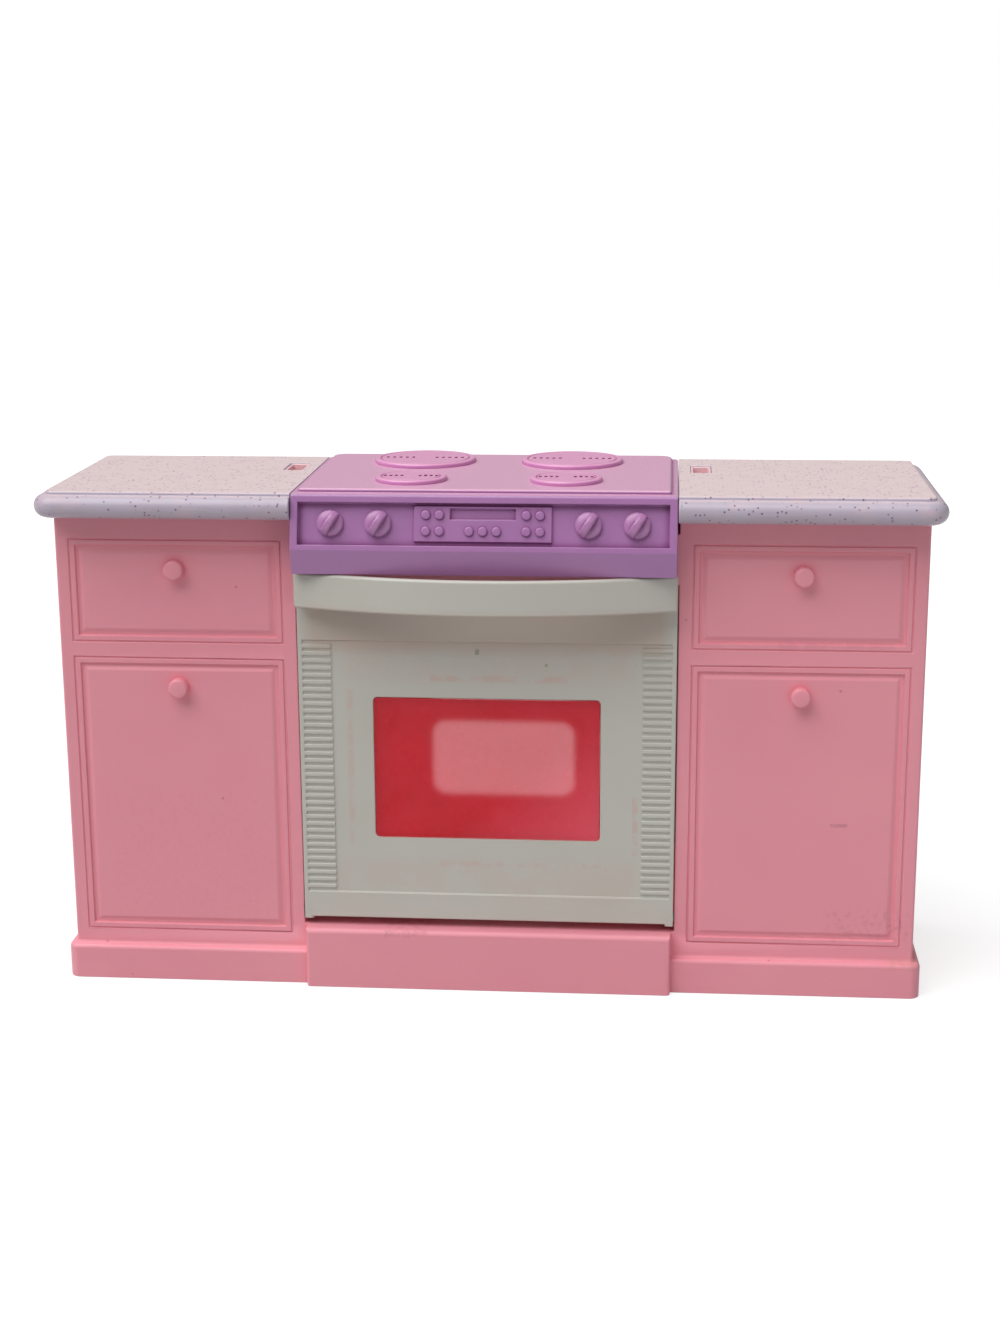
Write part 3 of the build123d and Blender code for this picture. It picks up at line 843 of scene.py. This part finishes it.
cabinet = {
    "cornerRadius": 0.8,
    "plinthOut": 2.3,
    "plinthFace": 10.6,
    "plinthRound": 1.3,
    "plinthCrease": ((0.62, 0.06), (0.45, 0.14), (0.3, 0.32), (0.15, 0.65)),  # out and up
    "plinthHeight": 11.6,
    "kickHalf": 54.3,
    "kickOut": 4.95,
    "kickRound": 1.5,
    "kickCorner": 1.0,
    "bayFloor": 18.4,
    "railBottom": 123.2,
    "roofTop": 138.0,
    "bodyTop": 142.4,
    "frontMargin": 3.65,
    "drawer": (104.25, 135.4),  # low and high
    "cupboard": (14.95, 100.2),
    "outline": (0.8, 0.4),  # width and depth
    "channelStart": 1.95,
    "channelFlat": (2.35, 2.65),  # insets from the edge of the front
    "channelEnd": 4.7,
    "channelDepth": 0.7,
    "pullRadius": 2.9,
    "pullLength": 3.4,
    "pullRound": 0.9,
    "pullDrop": 9.0,
    "backWindow": (22.8, 40.55, 65.45, 4.5),  # half width, low, high, corner radius
    "pinHole": (1.55, 2.0, 22.5),  # radius, y and z
    "collar": ((58.4, 64.4), (36.4, 50.2), (133.8, 149.7)),  # x, y and z on the right side
    "well": ((59.15, 63.65), (37.15, 49.45), (135.0, 150.0)),
    "stopY": (5.3, 6.9),
    "stopZ": (45.0, 110.0),
    "stopOut": 2.0,
    "softEdge": 0.28,
}


def frameCutter(x, z, groove):
    # a picture frame that cuts the (inset, depth) points of a groove round a front
    front = -1.0
    skin = -0.002
    first = groove[0][0]
    last = groove[-1][0]
    loops = []
    for inset, depth in [(first, front), (first, skin), *groove, (last, skin), (last, front)]:
        left, right = x[0] + inset, x[1] - inset
        bottom, top = z[0] + inset, z[1] - inset
        corners = ((left, bottom), (right, bottom), (right, top), (left, top))
        loops.append([(u, depth, v) for u, v in corners])
    return loopsObject("frameCutter", loops, True)


def frontCutters(x, z):
    # the sunk outline, and the channel with the slope up to the raised panel
    width, depth = cabinet["outline"]
    outline = easedSteps(0.0, width / 2, 0.0, depth, 6)
    outline += easedSteps(width / 2, width, depth, 0.0, 6)[1:]
    near, far = cabinet["channelFlat"]
    deep = cabinet["channelDepth"]
    channel = easedSteps(cabinet["channelStart"], near, 0.0, deep, 8)
    channel += easedSteps(far, cabinet["channelEnd"], deep, 0.0, 10)
    return [frameCutter(x, z, outline), frameCutter(x, z, channel)]


def pullKnob(x, z):
    radius, length, edge = pick(cabinet, "pullRadius pullLength pullRound")
    profile = [(radius - 0.2, -0.6), (radius - 0.05, 0.4), (radius, 1.0)]
    profile += arcPoints((radius - edge, length - edge - 0.05), edge, 0, 80, 6)
    profile += [(radius * 0.4, length - 0.01), (tip, length)]
    made = lathe("pull", profile, 48)
    made.data.transform(Matrix.Translation((x, 0, z)) @ Matrix.Rotation(math.pi / 2, 4, "X"))
    return smoothShade(made, 60)


def makePlinth():
    half, depth = pick(unit, "bodyHalf bodyDepth")
    out, rounding = pick(cabinet, "plinthOut plinthRound")
    face, height = pick(cabinet, "plinthFace plinthHeight")
    corner = cabinet["cornerRadius"]
    inside = -0.3
    section = [(inside, 0), (out, 0)]
    section += arcPoints((out - rounding, face - rounding), rounding, 0, 80, 7)
    section += [(u, face + v) for u, v in cabinet["plinthCrease"]]
    section += [(0, height), (inside, height)]
    route = [(-half, depth)]
    route += arcPoints((-half + corner, corner), corner, 180, 270, 6)
    route += arcPoints((half - corner, corner), corner, 270, 360, 6)
    route += [(half, depth)]
    return sweepObject("plinth", section, route)


def makeKick():
    half, out, floor, corner = pick(cabinet, "kickHalf kickOut bayFloor kickCorner")
    side = [(-out, 0, 0), (-out, floor, cabinet["kickRound"]), (1, floor, 0), (1, 0, 0)]
    kick = prismObject("kick", roundedOutline(side), -half, half, alongX)
    plan = rectangle((-half, half), (-out, 2), (corner, corner, 0, 0))
    keepInside(kick, prismObject("kickPlan", plan, -1, floor + over, alongZ))
    return kick


def makeCabinet():
    wall, bodyHalf, bayHalf, depth = pick(unit, "wall bodyHalf bayHalf bodyDepth")
    top, roof, floor, corner = pick(cabinet, "bodyTop roofTop bayFloor cornerRadius")
    plan = rectangle((-bodyHalf, bodyHalf), (0, depth), (corner, corner, 0, 0))
    body = prismObject("cabinetShell", plan, 0, top, alongZ)
    unite(body, makePlinth(), makeKick())

    bay = (-bayHalf, bayHalf)
    under = cabinet["kickHalf"] - wall
    underY = (wall - cabinet["kickOut"], depth + over)
    window = windowOutline(*cabinet["backWindow"], 8)
    cut(
        body,
        blockObject("bayFront", bay, (-9, wall + lap), (floor, cabinet["railBottom"])),
        blockObject("bay", bay, (wall, depth - wall), (floor, roof - wall)),
        blockObject("aboveRoof", bay, (-1, depth + over), (roof, top + over)),
        blockObject("underFloor", (-under, under), underY, (wall, floor - wall)),
        prismObject("backWindow", window, depth - 3, depth + over, alongY),
    )

    near = bayHalf + cabinet["frontMargin"]
    far = bodyHalf - cabinet["frontMargin"]
    pinRadius, pinY, pinZ = cabinet["pinHole"]
    pulls = []
    for side in (-1, 1):
        hollow = sided(side, bayHalf + wall, bodyHalf - wall)
        cut(body, blockObject("hollow", hollow, (wall, depth + over), (wall, top - wall)))
        for z in (cabinet["drawer"], cabinet["cupboard"]):
            cut(body, *frontCutters(sided(side, near, far), z))
            pulls.append(pullKnob(side * (near + far) / 2, z[1] - cabinet["pullDrop"]))
        for name, change in (("collar", unite), ("well", cut)):
            x, y, z = cabinet[name]
            change(body, blockObject(name, sided(side, *x), y, z))
        stop = sided(side, bayHalf - cabinet["stopOut"], bayHalf + over)
        unite(body, blockObject("doorStop", stop, cabinet["stopY"], cabinet["stopZ"]))
        hole = sided(side, bayHalf - over, bayHalf + wall + lap)
        cut(body, discObject("pinHole", pinRadius, *hole, alongX, (pinY, pinZ)))
    soften(body, cabinet["softEdge"])
    return joinMeshes(body, *pulls)


cabinetShell = makeCabinet()
settle(cabinetShell, "unit", ["cabinet_body"], pinkPlastic)
print("cabinet moulding made")


# Worktops with a round belt along the front and the outer side

worktop = {
    "inner": 54.75,
    "outer": 129.5,
    "front": -10.4,
    "bottom": 142.4,
    "beltHeight": 6.6,
    "beltCorner": 3.4,
    "stepInset": 0.1,
    "stepRound": 0.65,
    "crease": 0.25,
    "backCorner": 7.0,
    "socketX": (58.3, 64.5),
    "socketY": (36.3, 50.3),
    "skin": 2.0,
    "rib": 1.2,
    "cells": 3,
    "cellStart": 56.75,
    "softEdge": 0.28,
}


def makeWorktop():
    back, top = pick(unit, "backEdge worktopTop")
    inner, bottom, corner = pick(worktop, "inner bottom beltCorner")
    inset, crease, brow = pick(worktop, "stepInset crease stepRound")
    radius = worktop["beltHeight"] / 2
    beltTop = bottom + worktop["beltHeight"]
    beltX = worktop["outer"] - radius
    beltY = worktop["front"] + radius
    section = [(-corner / 2, bottom)]
    section += arcPoints((0, bottom + radius), radius, -90, 84, 18)
    section += arcPoints((crease - inset, beltTop + crease), crease, 265, 180, 6)
    section += arcPoints((-inset - brow, top - brow), brow, 0, 90, 6)
    section += [(-corner / 2, top)]
    route = [(inner, beltY)]
    route += arcPoints((beltX - corner, beltY + corner), corner, 270, 360, 12)
    route += [(beltX, back)]
    edge = sweepObject("beltEdge", section, route)

    field = inset + brow + 0.1
    x = (inner, beltX - field)
    plan = rectangle(x, (beltY + field, back), (0, corner - field, 0, 0), 12)
    slab = prismObject("worktopRight", plan, bottom, top, alongZ)
    unite(slab, edge)
    x = (0, worktop["outer"] + lap)
    limit = rectangle(x, (worktop["front"] - 2, back), (0, 0, worktop["backCorner"], 0), 10)
    through = (bottom - over, top + over)
    keepInside(slab, prismObject("limit", limit, *through, alongZ))
    cut(slab, blockObject("socket", worktop["socketX"], worktop["socketY"], through))

    # ribbed hollows under the overhang
    rib, left, cells = pick(worktop, "rib cellStart cells")
    right = unit["bodyHalf"] - unit["wall"]
    step = (right - left + rib) / cells
    y = (beltY + inset + rib, -rib)
    z = (bottom - over, top - worktop["skin"])
    for cell in range(cells):
        x = left + cell * step
        cut(slab, blockObject("cell", (x, x + step - rib), y, z))
    return slab


worktopRight = makeWorktop()
worktopLeft = mirrorX(worktopRight, "worktopLeft")
for slab, node in ((worktopRight, "worktop_right"), (worktopLeft, "worktop_left")):
    soften(slab, worktop["softEdge"])
    settle(slab, "unit", [node], speckledPlastic)
print("worktops made")


# Range top: hob and control panel in one moulding

rangeTop = {
    "half": 54.55,
    "backCorner": 2.0,
    "roof": 138.0,
    "brow": (7.24, 1.2),  # out and radius
    "foot": (11.3, 134.6, 1.0),  # out, height and radius
    "bottom": 127.25,
    "bandLean": 2.0,
    "headerGap": 1.0,
    "hobHalf": 52.75,
    "hobY": (-5.0, 63.25),
    "hobTop": 151.2,
    "hobCorners": (0.8, 4.0),  # front and back
    "hobRound": 0.8,
    "recess": (52.4, 1.5, 13.55, 2.0),  # half width, low, high, depth
    "keypad": (19.45, 2.75, 12.85, -1.2),  # half width, low, high, height of its face
    "display": (9.25, 9.1, 12.2, 0.95),  # half width, low, high, depth
    "knobHole": 1.65,
    "wall": 1.6,
    "skin": 3.6,
    "ceiling": 148.0,
    "ribs": (0.0, 22.9, 36.5, 52.85),  # places from the middle outwards
    "ribHalf": 0.6,
    "softEdge": 0.28,
}
keys = {
    "radius": 1.32,
    "rise": 0.75,
    "root": 0.3,
    "edge": 0.45,
    "row": 5.75,
    "rowStep": 4.6,
    "outer": 16.1,
    "step": 3.85,
}
knobs = {
    "places": (-43.3, -29.7, 29.7, 43.3),
    "up": 7.78,
    "radius": 3.8,
    "base": -1.8,
    "rim": 0.5,
    "dome": 1.3,
    "gripWidth": 2.3,
    "gripHalf": 3.9,
    "gripTop": 1.7,
    "gripRadius": 4.289,
    "gripEdge": 0.75,
    "leanDegrees": 32.0,
    "stem": 1.6,
    "snap": 2.2,
    "stemEnd": -3.8,
    "snapLength": 1.0,
    "softEdge": 0.12,
}

# the control panel's own frame: x to the right, y up the slope, z out of it
browOut, browRound = rangeTop["brow"]
footOut, footHeight, footRound = rangeTop["foot"]
panelTilt = math.atan((footOut - browOut) / (unit["worktopTop"] - footHeight))
panelUp = Vector((0, math.sin(panelTilt), math.cos(panelTilt)))
panelOut = Vector((0, -math.cos(panelTilt), math.sin(panelTilt)))
panelTurn = Matrix((Vector((1, 0, 0)), panelUp, panelOut)).transposed().to_4x4()
panelFrame = Matrix.Translation((0, -footOut, footHeight)) @ panelTurn


def onPanel(made):
    made.data.transform(panelFrame)
    return made


def panelBlock(name, half, low, high, deep, out):
    return onPanel(blockObject(name, (-half, half), (low, high), (deep, out)))


def makeRangeTop():
    back, top = pick(unit, "backEdge worktopTop")
    half, roof, bottom, lean = pick(rangeTop, "half roof bottom bandLean")
    gap = -rangeTop["headerGap"]
    profile = [
        (back, roof, 0),
        (back, top, 0),
        (-browOut, top, browRound),
        (-footOut, footHeight, footRound),
        (-footOut + lean, bottom, 0),
        (gap, bottom, 0),
        (gap, roof, 0),
    ]
    body = prismObject("rangeTop", roundedOutline(profile), -half, half, alongX)
    corner = rangeTop["backCorner"]
    clearFront = -20  # in front of the panel's foot
    plan = rectangle((-half, half), (clearFront, back), (0, 0, corner, corner), 8)
    keepInside(body, prismObject("plan", plan, bottom - over, top + over, alongZ))
    x = (-rangeTop["hobHalf"], rangeTop["hobHalf"])
    z = (top - 5, rangeTop["hobTop"])
    radii = rangeTop["hobCorners"]
    unite(body, roundedSlab("hob", x, rangeTop["hobY"], z, radii, rangeTop["hobRound"], 8))

    # hollows behind the control panel and under the hob
    ceiling, wall, ribs, ribHalf = pick(rangeTop, "ceiling wall ribs ribHalf")
    skin = rangeTop["skin"] / math.cos(panelTilt)
    slope = math.tan(panelTilt)
    hollow = [
        (0, bottom - over),
        (-footOut + wall + lean, bottom - over),
        (-footOut + wall, footHeight - wall),
        (-footOut + skin, footHeight),
        (-footOut + skin + slope * (ceiling - footHeight), ceiling),
        (0, ceiling),
    ]
    for side in (-1, 1):
        for near, far in zip(ribs, ribs[1:]):
            x = sided(side, near + ribHalf, far - ribHalf)
            cut(body, prismObject("panelHollow", hollow, *x, alongX))
    inner = half - unit["wall"]
    y = (1.2, back - 2)  # leaves a wall at the front and at the back
    cut(body, blockObject("hobHollow", (-inner, inner), y, (roof - over, ceiling)))

    # the recess, the raised keypad with its sunk display, and the knob holes
    (*recess, depth), (*keypad, padFace), (*display, sunk) = pick(rangeTop, "recess keypad display")
    cut(body, panelBlock("recess", *recess, -depth, 2))
    unite(body, panelBlock("keypad", *keypad, -depth - wall / 2, padFace))
    cut(body, panelBlock("display", *display, padFace - sunk, 1))
    for x in knobs["places"]:
        middle = (x, knobs["up"])
        cut(body, onPanel(discObject("knobHole", rangeTop["knobHole"], -8, 2, alongZ, middle)))
    return soften(body, rangeTop["softEdge"])


def makeKeys():
    # round keys: two rows of two on each side of the display, and three below it
    face = rangeTop["keypad"][-1]
    radius, rise, edge, step, low = pick(keys, "radius rise edge step row")
    profile = [(radius, -keys["root"]), (radius, 0)]
    profile += arcPoints((radius - edge, rise - edge), edge, 0, 90, 5)
    profile += [(radius * 0.5, rise + 0.02), (tip, rise + 0.03)]
    key = smoothShade(lathe("key", profile, 36), 60)
    left = -keys["outer"]
    right = keys["outer"] - step
    high = low + keys["rowStep"]
    groups = ((left, low, 2), (left, high, 2), (right, low, 2), (right, high, 2), (-step, low, 3))
    rows = []
    for x, up, count in groups:
        rows.append(repeatAlong(key, count, (x, up, face), (step, 0, 0), purplePlastic))
    bpy.data.objects.remove(key)
    return [onPanel(row) for row in rows]


rangeMoulding = makeRangeTop()
joinMeshes(rangeMoulding, *makeKeys())
settle(rangeMoulding, "unit", ["range_top"], purplePlastic)
print("range top made")


def makeKnob():
    # one lathe for stem, rim and dome, and a round-topped grip across it
    radius, base, dome, stem, end = pick(knobs, "radius base dome stem stemEnd")
    rimTop = base + knobs["rim"]
    bevel = 0.15
    profile = [
        (stem, end - knobs["snapLength"]),
        (knobs["snap"], end),
        (stem, end),
        (stem, base),
        (radius - bevel, base),
        (radius, base + bevel),
        (radius, rimTop),
    ]
    for step in range(1, 9):
        angle = math.pi / 2 * step / 9
        profile.append((radius * math.cos(angle), rimTop + dome * math.sin(angle)))
    profile += [(tip, rimTop + dome)]
    made = lathe("knob", profile, 56)

    half = knobs["gripWidth"] / 2
    arc, edge, reach = pick(knobs, "gripRadius gripEdge gripHalf")
    low = base - 2
    inset = 0.06  # keeps the grip's ends inside the rim
    corner = arcPoints((0, 0), edge, 0, 90, 4)
    loops = []
    for step in range(25):
        along = -reach + 2 * reach * step / 24
        top = knobs["gripTop"] - arc + math.sqrt(arc * arc - along * along)
        ring = [(-half, along, low)]
        ring += [(-half + edge - u, along, top - edge + v) for u, v in corner]
        ring += [(half - edge + u, along, top - edge + v) for u, v in reversed(corner)]
        ring += [(half, along, low)]
        loops.append(ring)
    grip = loopsObject("grip", loops)
    keepInside(grip, discObject("gripLimit", radius - inset, base + 0.3, 3, alongZ, (0, 0), 56))
    grip.data.transform(Matrix.Rotation(math.radians(-knobs["leanDegrees"]), 4, "Z"))
    unite(made, grip)
    return soften(made, knobs["softEdge"], 2, 38)


plainKnob = makeKnob()
for number, x in enumerate(knobs["places"], start=1):
    knob = newObject("knob" + str(number), plainKnob.data.copy())
    knob.data.transform(Matrix.Translation((x, knobs["up"], 0)))
    node = "control_knob_" + str(number)
    settle(onPanel(knob), "knob_" + str(number), [node], knobPlastic)
bpy.data.objects.remove(plainKnob)
print("knobs made")


# Burner plates with a ring groove and rows of slots

burners = {
    "x": 22.45,
    "rise": 1.3,
    "edge": 0.75,
    "grooveIn": 1.6,
    "grooveWidth": 0.7,
    "grooveDepth": 0.35,
    "slotHalf": (0.4, 1.3),  # half length in x and y
    "slotDepth": 0.6,
    "peg": 2.2,
    "pegLength": 1.6,
    "back": {"y": 47.5, "radius": 15.4, "slots": 5, "start": 3.6, "pitch": 1.95},
    "front": {"y": 11.5, "radius": 10.45, "slots": 4, "start": 2.65, "pitch": 1.6},
    "softEdge": 0.1,
}


def makeBurner(name, x, kind):
    rise, edge, deep, peg = pick(burners, "rise edge grooveDepth peg")
    radius = kind["radius"]
    groove = radius - burners["grooveIn"]
    half = burners["grooveWidth"] / 2
    profile = [(radius - 0.1, 0), (radius, 0.15)]
    profile += arcPoints((radius - edge, rise - edge), edge, 0, 90, 6)
    profile += [(groove + 0.15, rise)]
    profile += [(groove - u, rise - v) for u, v in easedSteps(0, half, 0, deep, 4)]
    profile += [(groove - half - u, rise - v) for u, v in easedSteps(0, half, deep, 0, 4)[1:]]
    profile += [(groove - 2 * half - 0.3, rise), (tip, rise)]
    plate = lathe(name, profile, 96)
    halfX, halfY = burners["slotHalf"]
    z = (rise - burners["slotDepth"], rise + over)
    slot = blockObject("slot", (-halfX, halfX), (-halfY, halfY), z)
    for side in (-1, 1):
        start = (side * kind["start"], 0, 0)
        step = (side * kind["pitch"], 0, 0)
        cut(plate, repeatAlong(slot, kind["slots"], start, step, burnerPlastic))
    bpy.data.objects.remove(slot)
    unite(plate, blockObject("peg", (-peg, peg), (-peg, peg), (-burners["pegLength"], rise / 2)))
    soften(plate, burners["softEdge"], 2, 40)
    plate.data.transform(Matrix.Translation((x, kind["y"], rangeTop["hobTop"])))
    return plate


for row in ("back", "front"):
    for side, name in ((-1, "left"), (1, "right")):
        made = "burner" + row.title() + name.title()
        plate = makeBurner(made, side * burners["x"], burners[row])
        node = "burner_" + row + "_" + name
        settle(plate, "unit", [node], burnerPlastic)
print("burners made")


# Oven door with side ribs and a bow handle

door = {
    "half": 54.95,
    "front": -1.0,
    "back": 5.0,
    "bottom": 20.3,
    "top": 127.0,
    "edgeTop": 122.6,
    "foot": (2.3, 0.7),  # width and height
    "field": (53.55, 29.0, 106.0, 0.5),  # half width, low, high, depth
    "wall": 1.8,
    "rim": 1.6,
    "window": (33.1, 46.45, 89.05, 1.1),  # half width, low, high, corner radius
    "ribLength": 8.3,
    "ribHeight": 1.25,
    "ribMargin": 1.1,
    "ribCount": 35,
    "ribRound": 0.3,
    "ribOverlap": 0.3,
    "handleHeight": 10.4,
    "handleOut": 15.7,
    "handleEnd": 5.3,
    "handleThickness": 2.2,
    "handlePost": 4.1,
    "handleRound": 0.85,
    "lug": (3.0, 2.5),  # radius and width
    "pin": (1.5, 57.0),  # radius and end
    "hinge": (2.0, 22.5),  # y and z
    "softEdge": 0.32,
}


def makeHandle():
    half = door["half"]
    root = 0.2
    rise = door["handleOut"] - door["handleEnd"]
    bow = (half * half + rise * rise) / (2 * rise)
    middle = (0, -door["handleOut"] + bow)
    inner = bow - door["handleThickness"]
    post = half - door["handlePost"]
    reach = math.degrees(math.asin(half / bow))
    innerReach = math.degrees(math.asin(post / inner))
    outline = arcPoints(middle, bow, 270 - reach, 270 + reach, 60)
    outline += [(half, root), (post, root)]
    outline += arcPoints(middle, inner, 270 + innerReach, 270 - innerReach, 60)
    outline += [(-post, root), (-half, root)]
    low = door["top"] - door["handleHeight"]
    handle = prismObject("handle", outline, low, door["top"], alongZ)
    return soften(handle, door["handleRound"], 5)


def makeRibs():
    # a ladder of ribs on each side of the ribbed field
    front, count, rounding, margin = pick(door, "front ribCount ribRound ribMargin")
    length, height, overlap = pick(door, "ribLength ribHeight ribOverlap")
    fieldHalf, fieldLow, fieldHigh, fieldDepth = door["field"]
    y = (front, front + fieldDepth + overlap)
    side = rectangle(y, (0, height), (rounding, 0, 0, rounding), 4)
    rib = smoothShade(prismObject("rib", side, 0, length + overlap, alongX), 40)
    ladder = fieldHigh - fieldLow - 2 * margin - height
    rows = []
    for x in (-fieldHalf - overlap, fieldHalf - length):
        start = (x, 0, fieldLow + margin)
        rows.append(repeatAlong(rib, count, start, (0, 0, ladder / (count - 1)), whitePlastic))
    bpy.data.objects.remove(rib)
    return rows


def makeDoor():
    half, front, back, bottom, top, rim = pick(door, "half front back bottom edgeTop rim")
    footWidth, footHeight = door["foot"]
    fieldHalf, fieldLow, fieldHigh, fieldDepth = door["field"]
    between = half - footWidth
    through = (front - over, back + over)
    fieldY = (front - over, front + fieldDepth)
    hollowY = (front + door["wall"], back + over)
    hollowZ = (bottom + footHeight + rim, top - rim)
    slab = blockObject("ovenDoor", (-half, half), (front, back), (bottom, top))
    cut(
        slab,
        blockObject("feet", (-between, between), through, (bottom - over, bottom + footHeight)),
        blockObject("field", (-fieldHalf, fieldHalf), fieldY, (fieldLow, fieldHigh)),
        blockObject("hollow", (rim - half, half - rim), hollowY, hollowZ),
        prismObject("windowOpening", windowOutline(*door["window"]), *through, alongY),
    )
    soften(slab, door["softEdge"])
    rows = makeRibs()

    # hinge lugs and stub pins
    lugRadius, lugWidth = door["lug"]
    pinRadius, pinEnd = door["pin"]
    lug = (lugRadius, half - lugWidth, half)
    pin = (pinRadius, half - lugWidth / 2, pinEnd)
    hinges = []
    for side in (-1, 1):
        for radius, near, far in (lug, pin):
            disc = discObject("hinge", radius, *sided(side, near, far), alongX, door["hinge"])
            hinges.append(smoothShade(disc))
    return joinMeshes(slab, makeHandle(), *rows, *hinges)


ovenDoor = makeDoor()
settle(ovenDoor, "door", ["oven_door"], whitePlastic)
print("oven door made")


# Window: a pad that fills the opening, and its flange behind the door

pane = {
    "fit": 0.1,
    "sink": 0.3,
    "border": 8.2,
    "flange": 1.2,
    "corner": 1.1,
    "softEdge": 0.2,
}


def makePane():
    halfWidth, low, high, _ = door["window"]
    front = door["front"] + door["wall"]
    border, fit = pick(pane, "border fit")
    x = (-halfWidth - border, halfWidth + border)
    z = (low - border, high + border)
    flange = blockObject("windowPane", x, (front, front + pane["flange"]), z)
    outline = windowOutline(halfWidth - fit, low + fit, high - fit, pane["corner"])
    padFront = door["front"] + pane["sink"]
    padBack = front + 0.5  # inside the flange
    unite(flange, prismObject("pad", outline, padFront, padBack, alongY))
    return soften(flange, pane["softEdge"])


windowPane = makePane()
settle(windowPane, "door", ["door_window"], redWindow)
print("window made")


# Room: pale floor, soft lamps, camera

room = {
    "floorColour": (0.44, 0.44, 0.44, 1),
    "floorGlow": 0.7,
    "floorHalf": 3.0,
    "worldStrength": 0.2,
    "keyFrom": (-0.42, -0.34, 1.0),
    "keySpreadDegrees": 60.0,
    "keyStrength": 2.85,
    "fillPlace": (0.7, -0.9, 0.12),
    "fillAim": (0.0, 0.0, 0.07),
    "fillSize": 0.5,
    "fillPower": 0.8,
}
cameraView = {
    "place": (0.05224, -0.60825, 0.24593),
    "turnDegrees": (75.904, 0.302, 4.647),
    "lens": 56.448,
    "filmHeight": 36.0,
}


def addLamp(name, kind, **settings):
    light = bpy.data.lights.new(name, kind)
    for setting, value in settings.items():
        setattr(light, setting, value)
    return newObject(name, light)


def rayMask(tree, *kinds):
    # 1 for the named kinds of ray
    path = addNode(tree, "ShaderNodeLightPath").outputs
    seen = path[kinds[0]]
    for kind in kinds[1:]:
        seen = mathNode(tree, "ADD", seen, path[kind], clamp=True)
    return seen


def makeFloor():
    # grey for the lamps, with white added for camera, glossy and transmission rays only
    work = bmesh.new()
    bmesh.ops.create_grid(work, x_segments=1, y_segments=1, size=room["floorHalf"])
    floor = objectFrom("floor", work)
    material, tree, shader, output = newMaterial("floorPaint")
    values = {"Base Color": room["floorColour"], "Roughness": 0.9, "Specular IOR Level": 0.1}
    fillInputs(tree, shader, values)
    seen = rayMask(tree, "Is Camera Ray", "Is Glossy Ray", "Is Transmission Ray")
    glow = mathNode(tree, "MULTIPLY", seen, room["floorGlow"])
    emission = addNode(tree, "ShaderNodeEmission", {"Strength": glow})
    values = {0: shader.outputs["BSDF"], 1: emission.outputs["Emission"]}
    total = addNode(tree, "ShaderNodeAddShader", values)
    fillInputs(tree, output, {"Surface": total.outputs["Shader"]})
    floor.data.materials.append(material)


def makeWorld():
    world = bpy.data.worlds.new("studio")
    bpy.context.scene.world = world
    world.use_nodes = True
    tree = world.node_tree
    tree.nodes.clear()
    seen = rayMask(tree, "Is Camera Ray", "Is Transmission Ray")
    strength = remap(tree, seen, 0.0, 1.0, room["worldStrength"], 1.0)
    values = {"Color": (1, 1, 1, 1), "Strength": strength}
    background = addNode(tree, "ShaderNodeBackground", values)
    addNode(tree, "ShaderNodeOutputWorld", {"Surface": background.outputs["Background"]})


def makeLamps():
    spread = math.radians(room["keySpreadDegrees"])
    key = addLamp("keyLamp", "SUN", energy=room["keyStrength"], angle=spread)
    key.rotation_euler = Vector(room["keyFrom"]).to_track_quat("Z", "Y").to_euler()
    size = room["fillSize"]
    fill = addLamp("fillLamp", "AREA", shape="DISK", size=size, energy=room["fillPower"])
    fill.location = room["fillPlace"]
    aim = Vector(room["fillAim"]) - Vector(room["fillPlace"])
    fill.rotation_euler = aim.to_track_quat("-Z", "Y").to_euler()


def makeCamera():
    camera = newObject("photoCamera", bpy.data.cameras.new("photoCamera"))
    camera.location = cameraView["place"]
    camera.rotation_euler = [math.radians(angle) for angle in cameraView["turnDegrees"]]
    camera.data.sensor_fit = "VERTICAL"
    camera.data.sensor_height = cameraView["filmHeight"]
    camera.data.lens = cameraView["lens"]
    bpy.context.scene.camera = camera


makeFloor()
makeWorld()
makeLamps()
makeCamera()
bpy.context.scene.view_settings.view_transform = "Standard"
print("room ready")
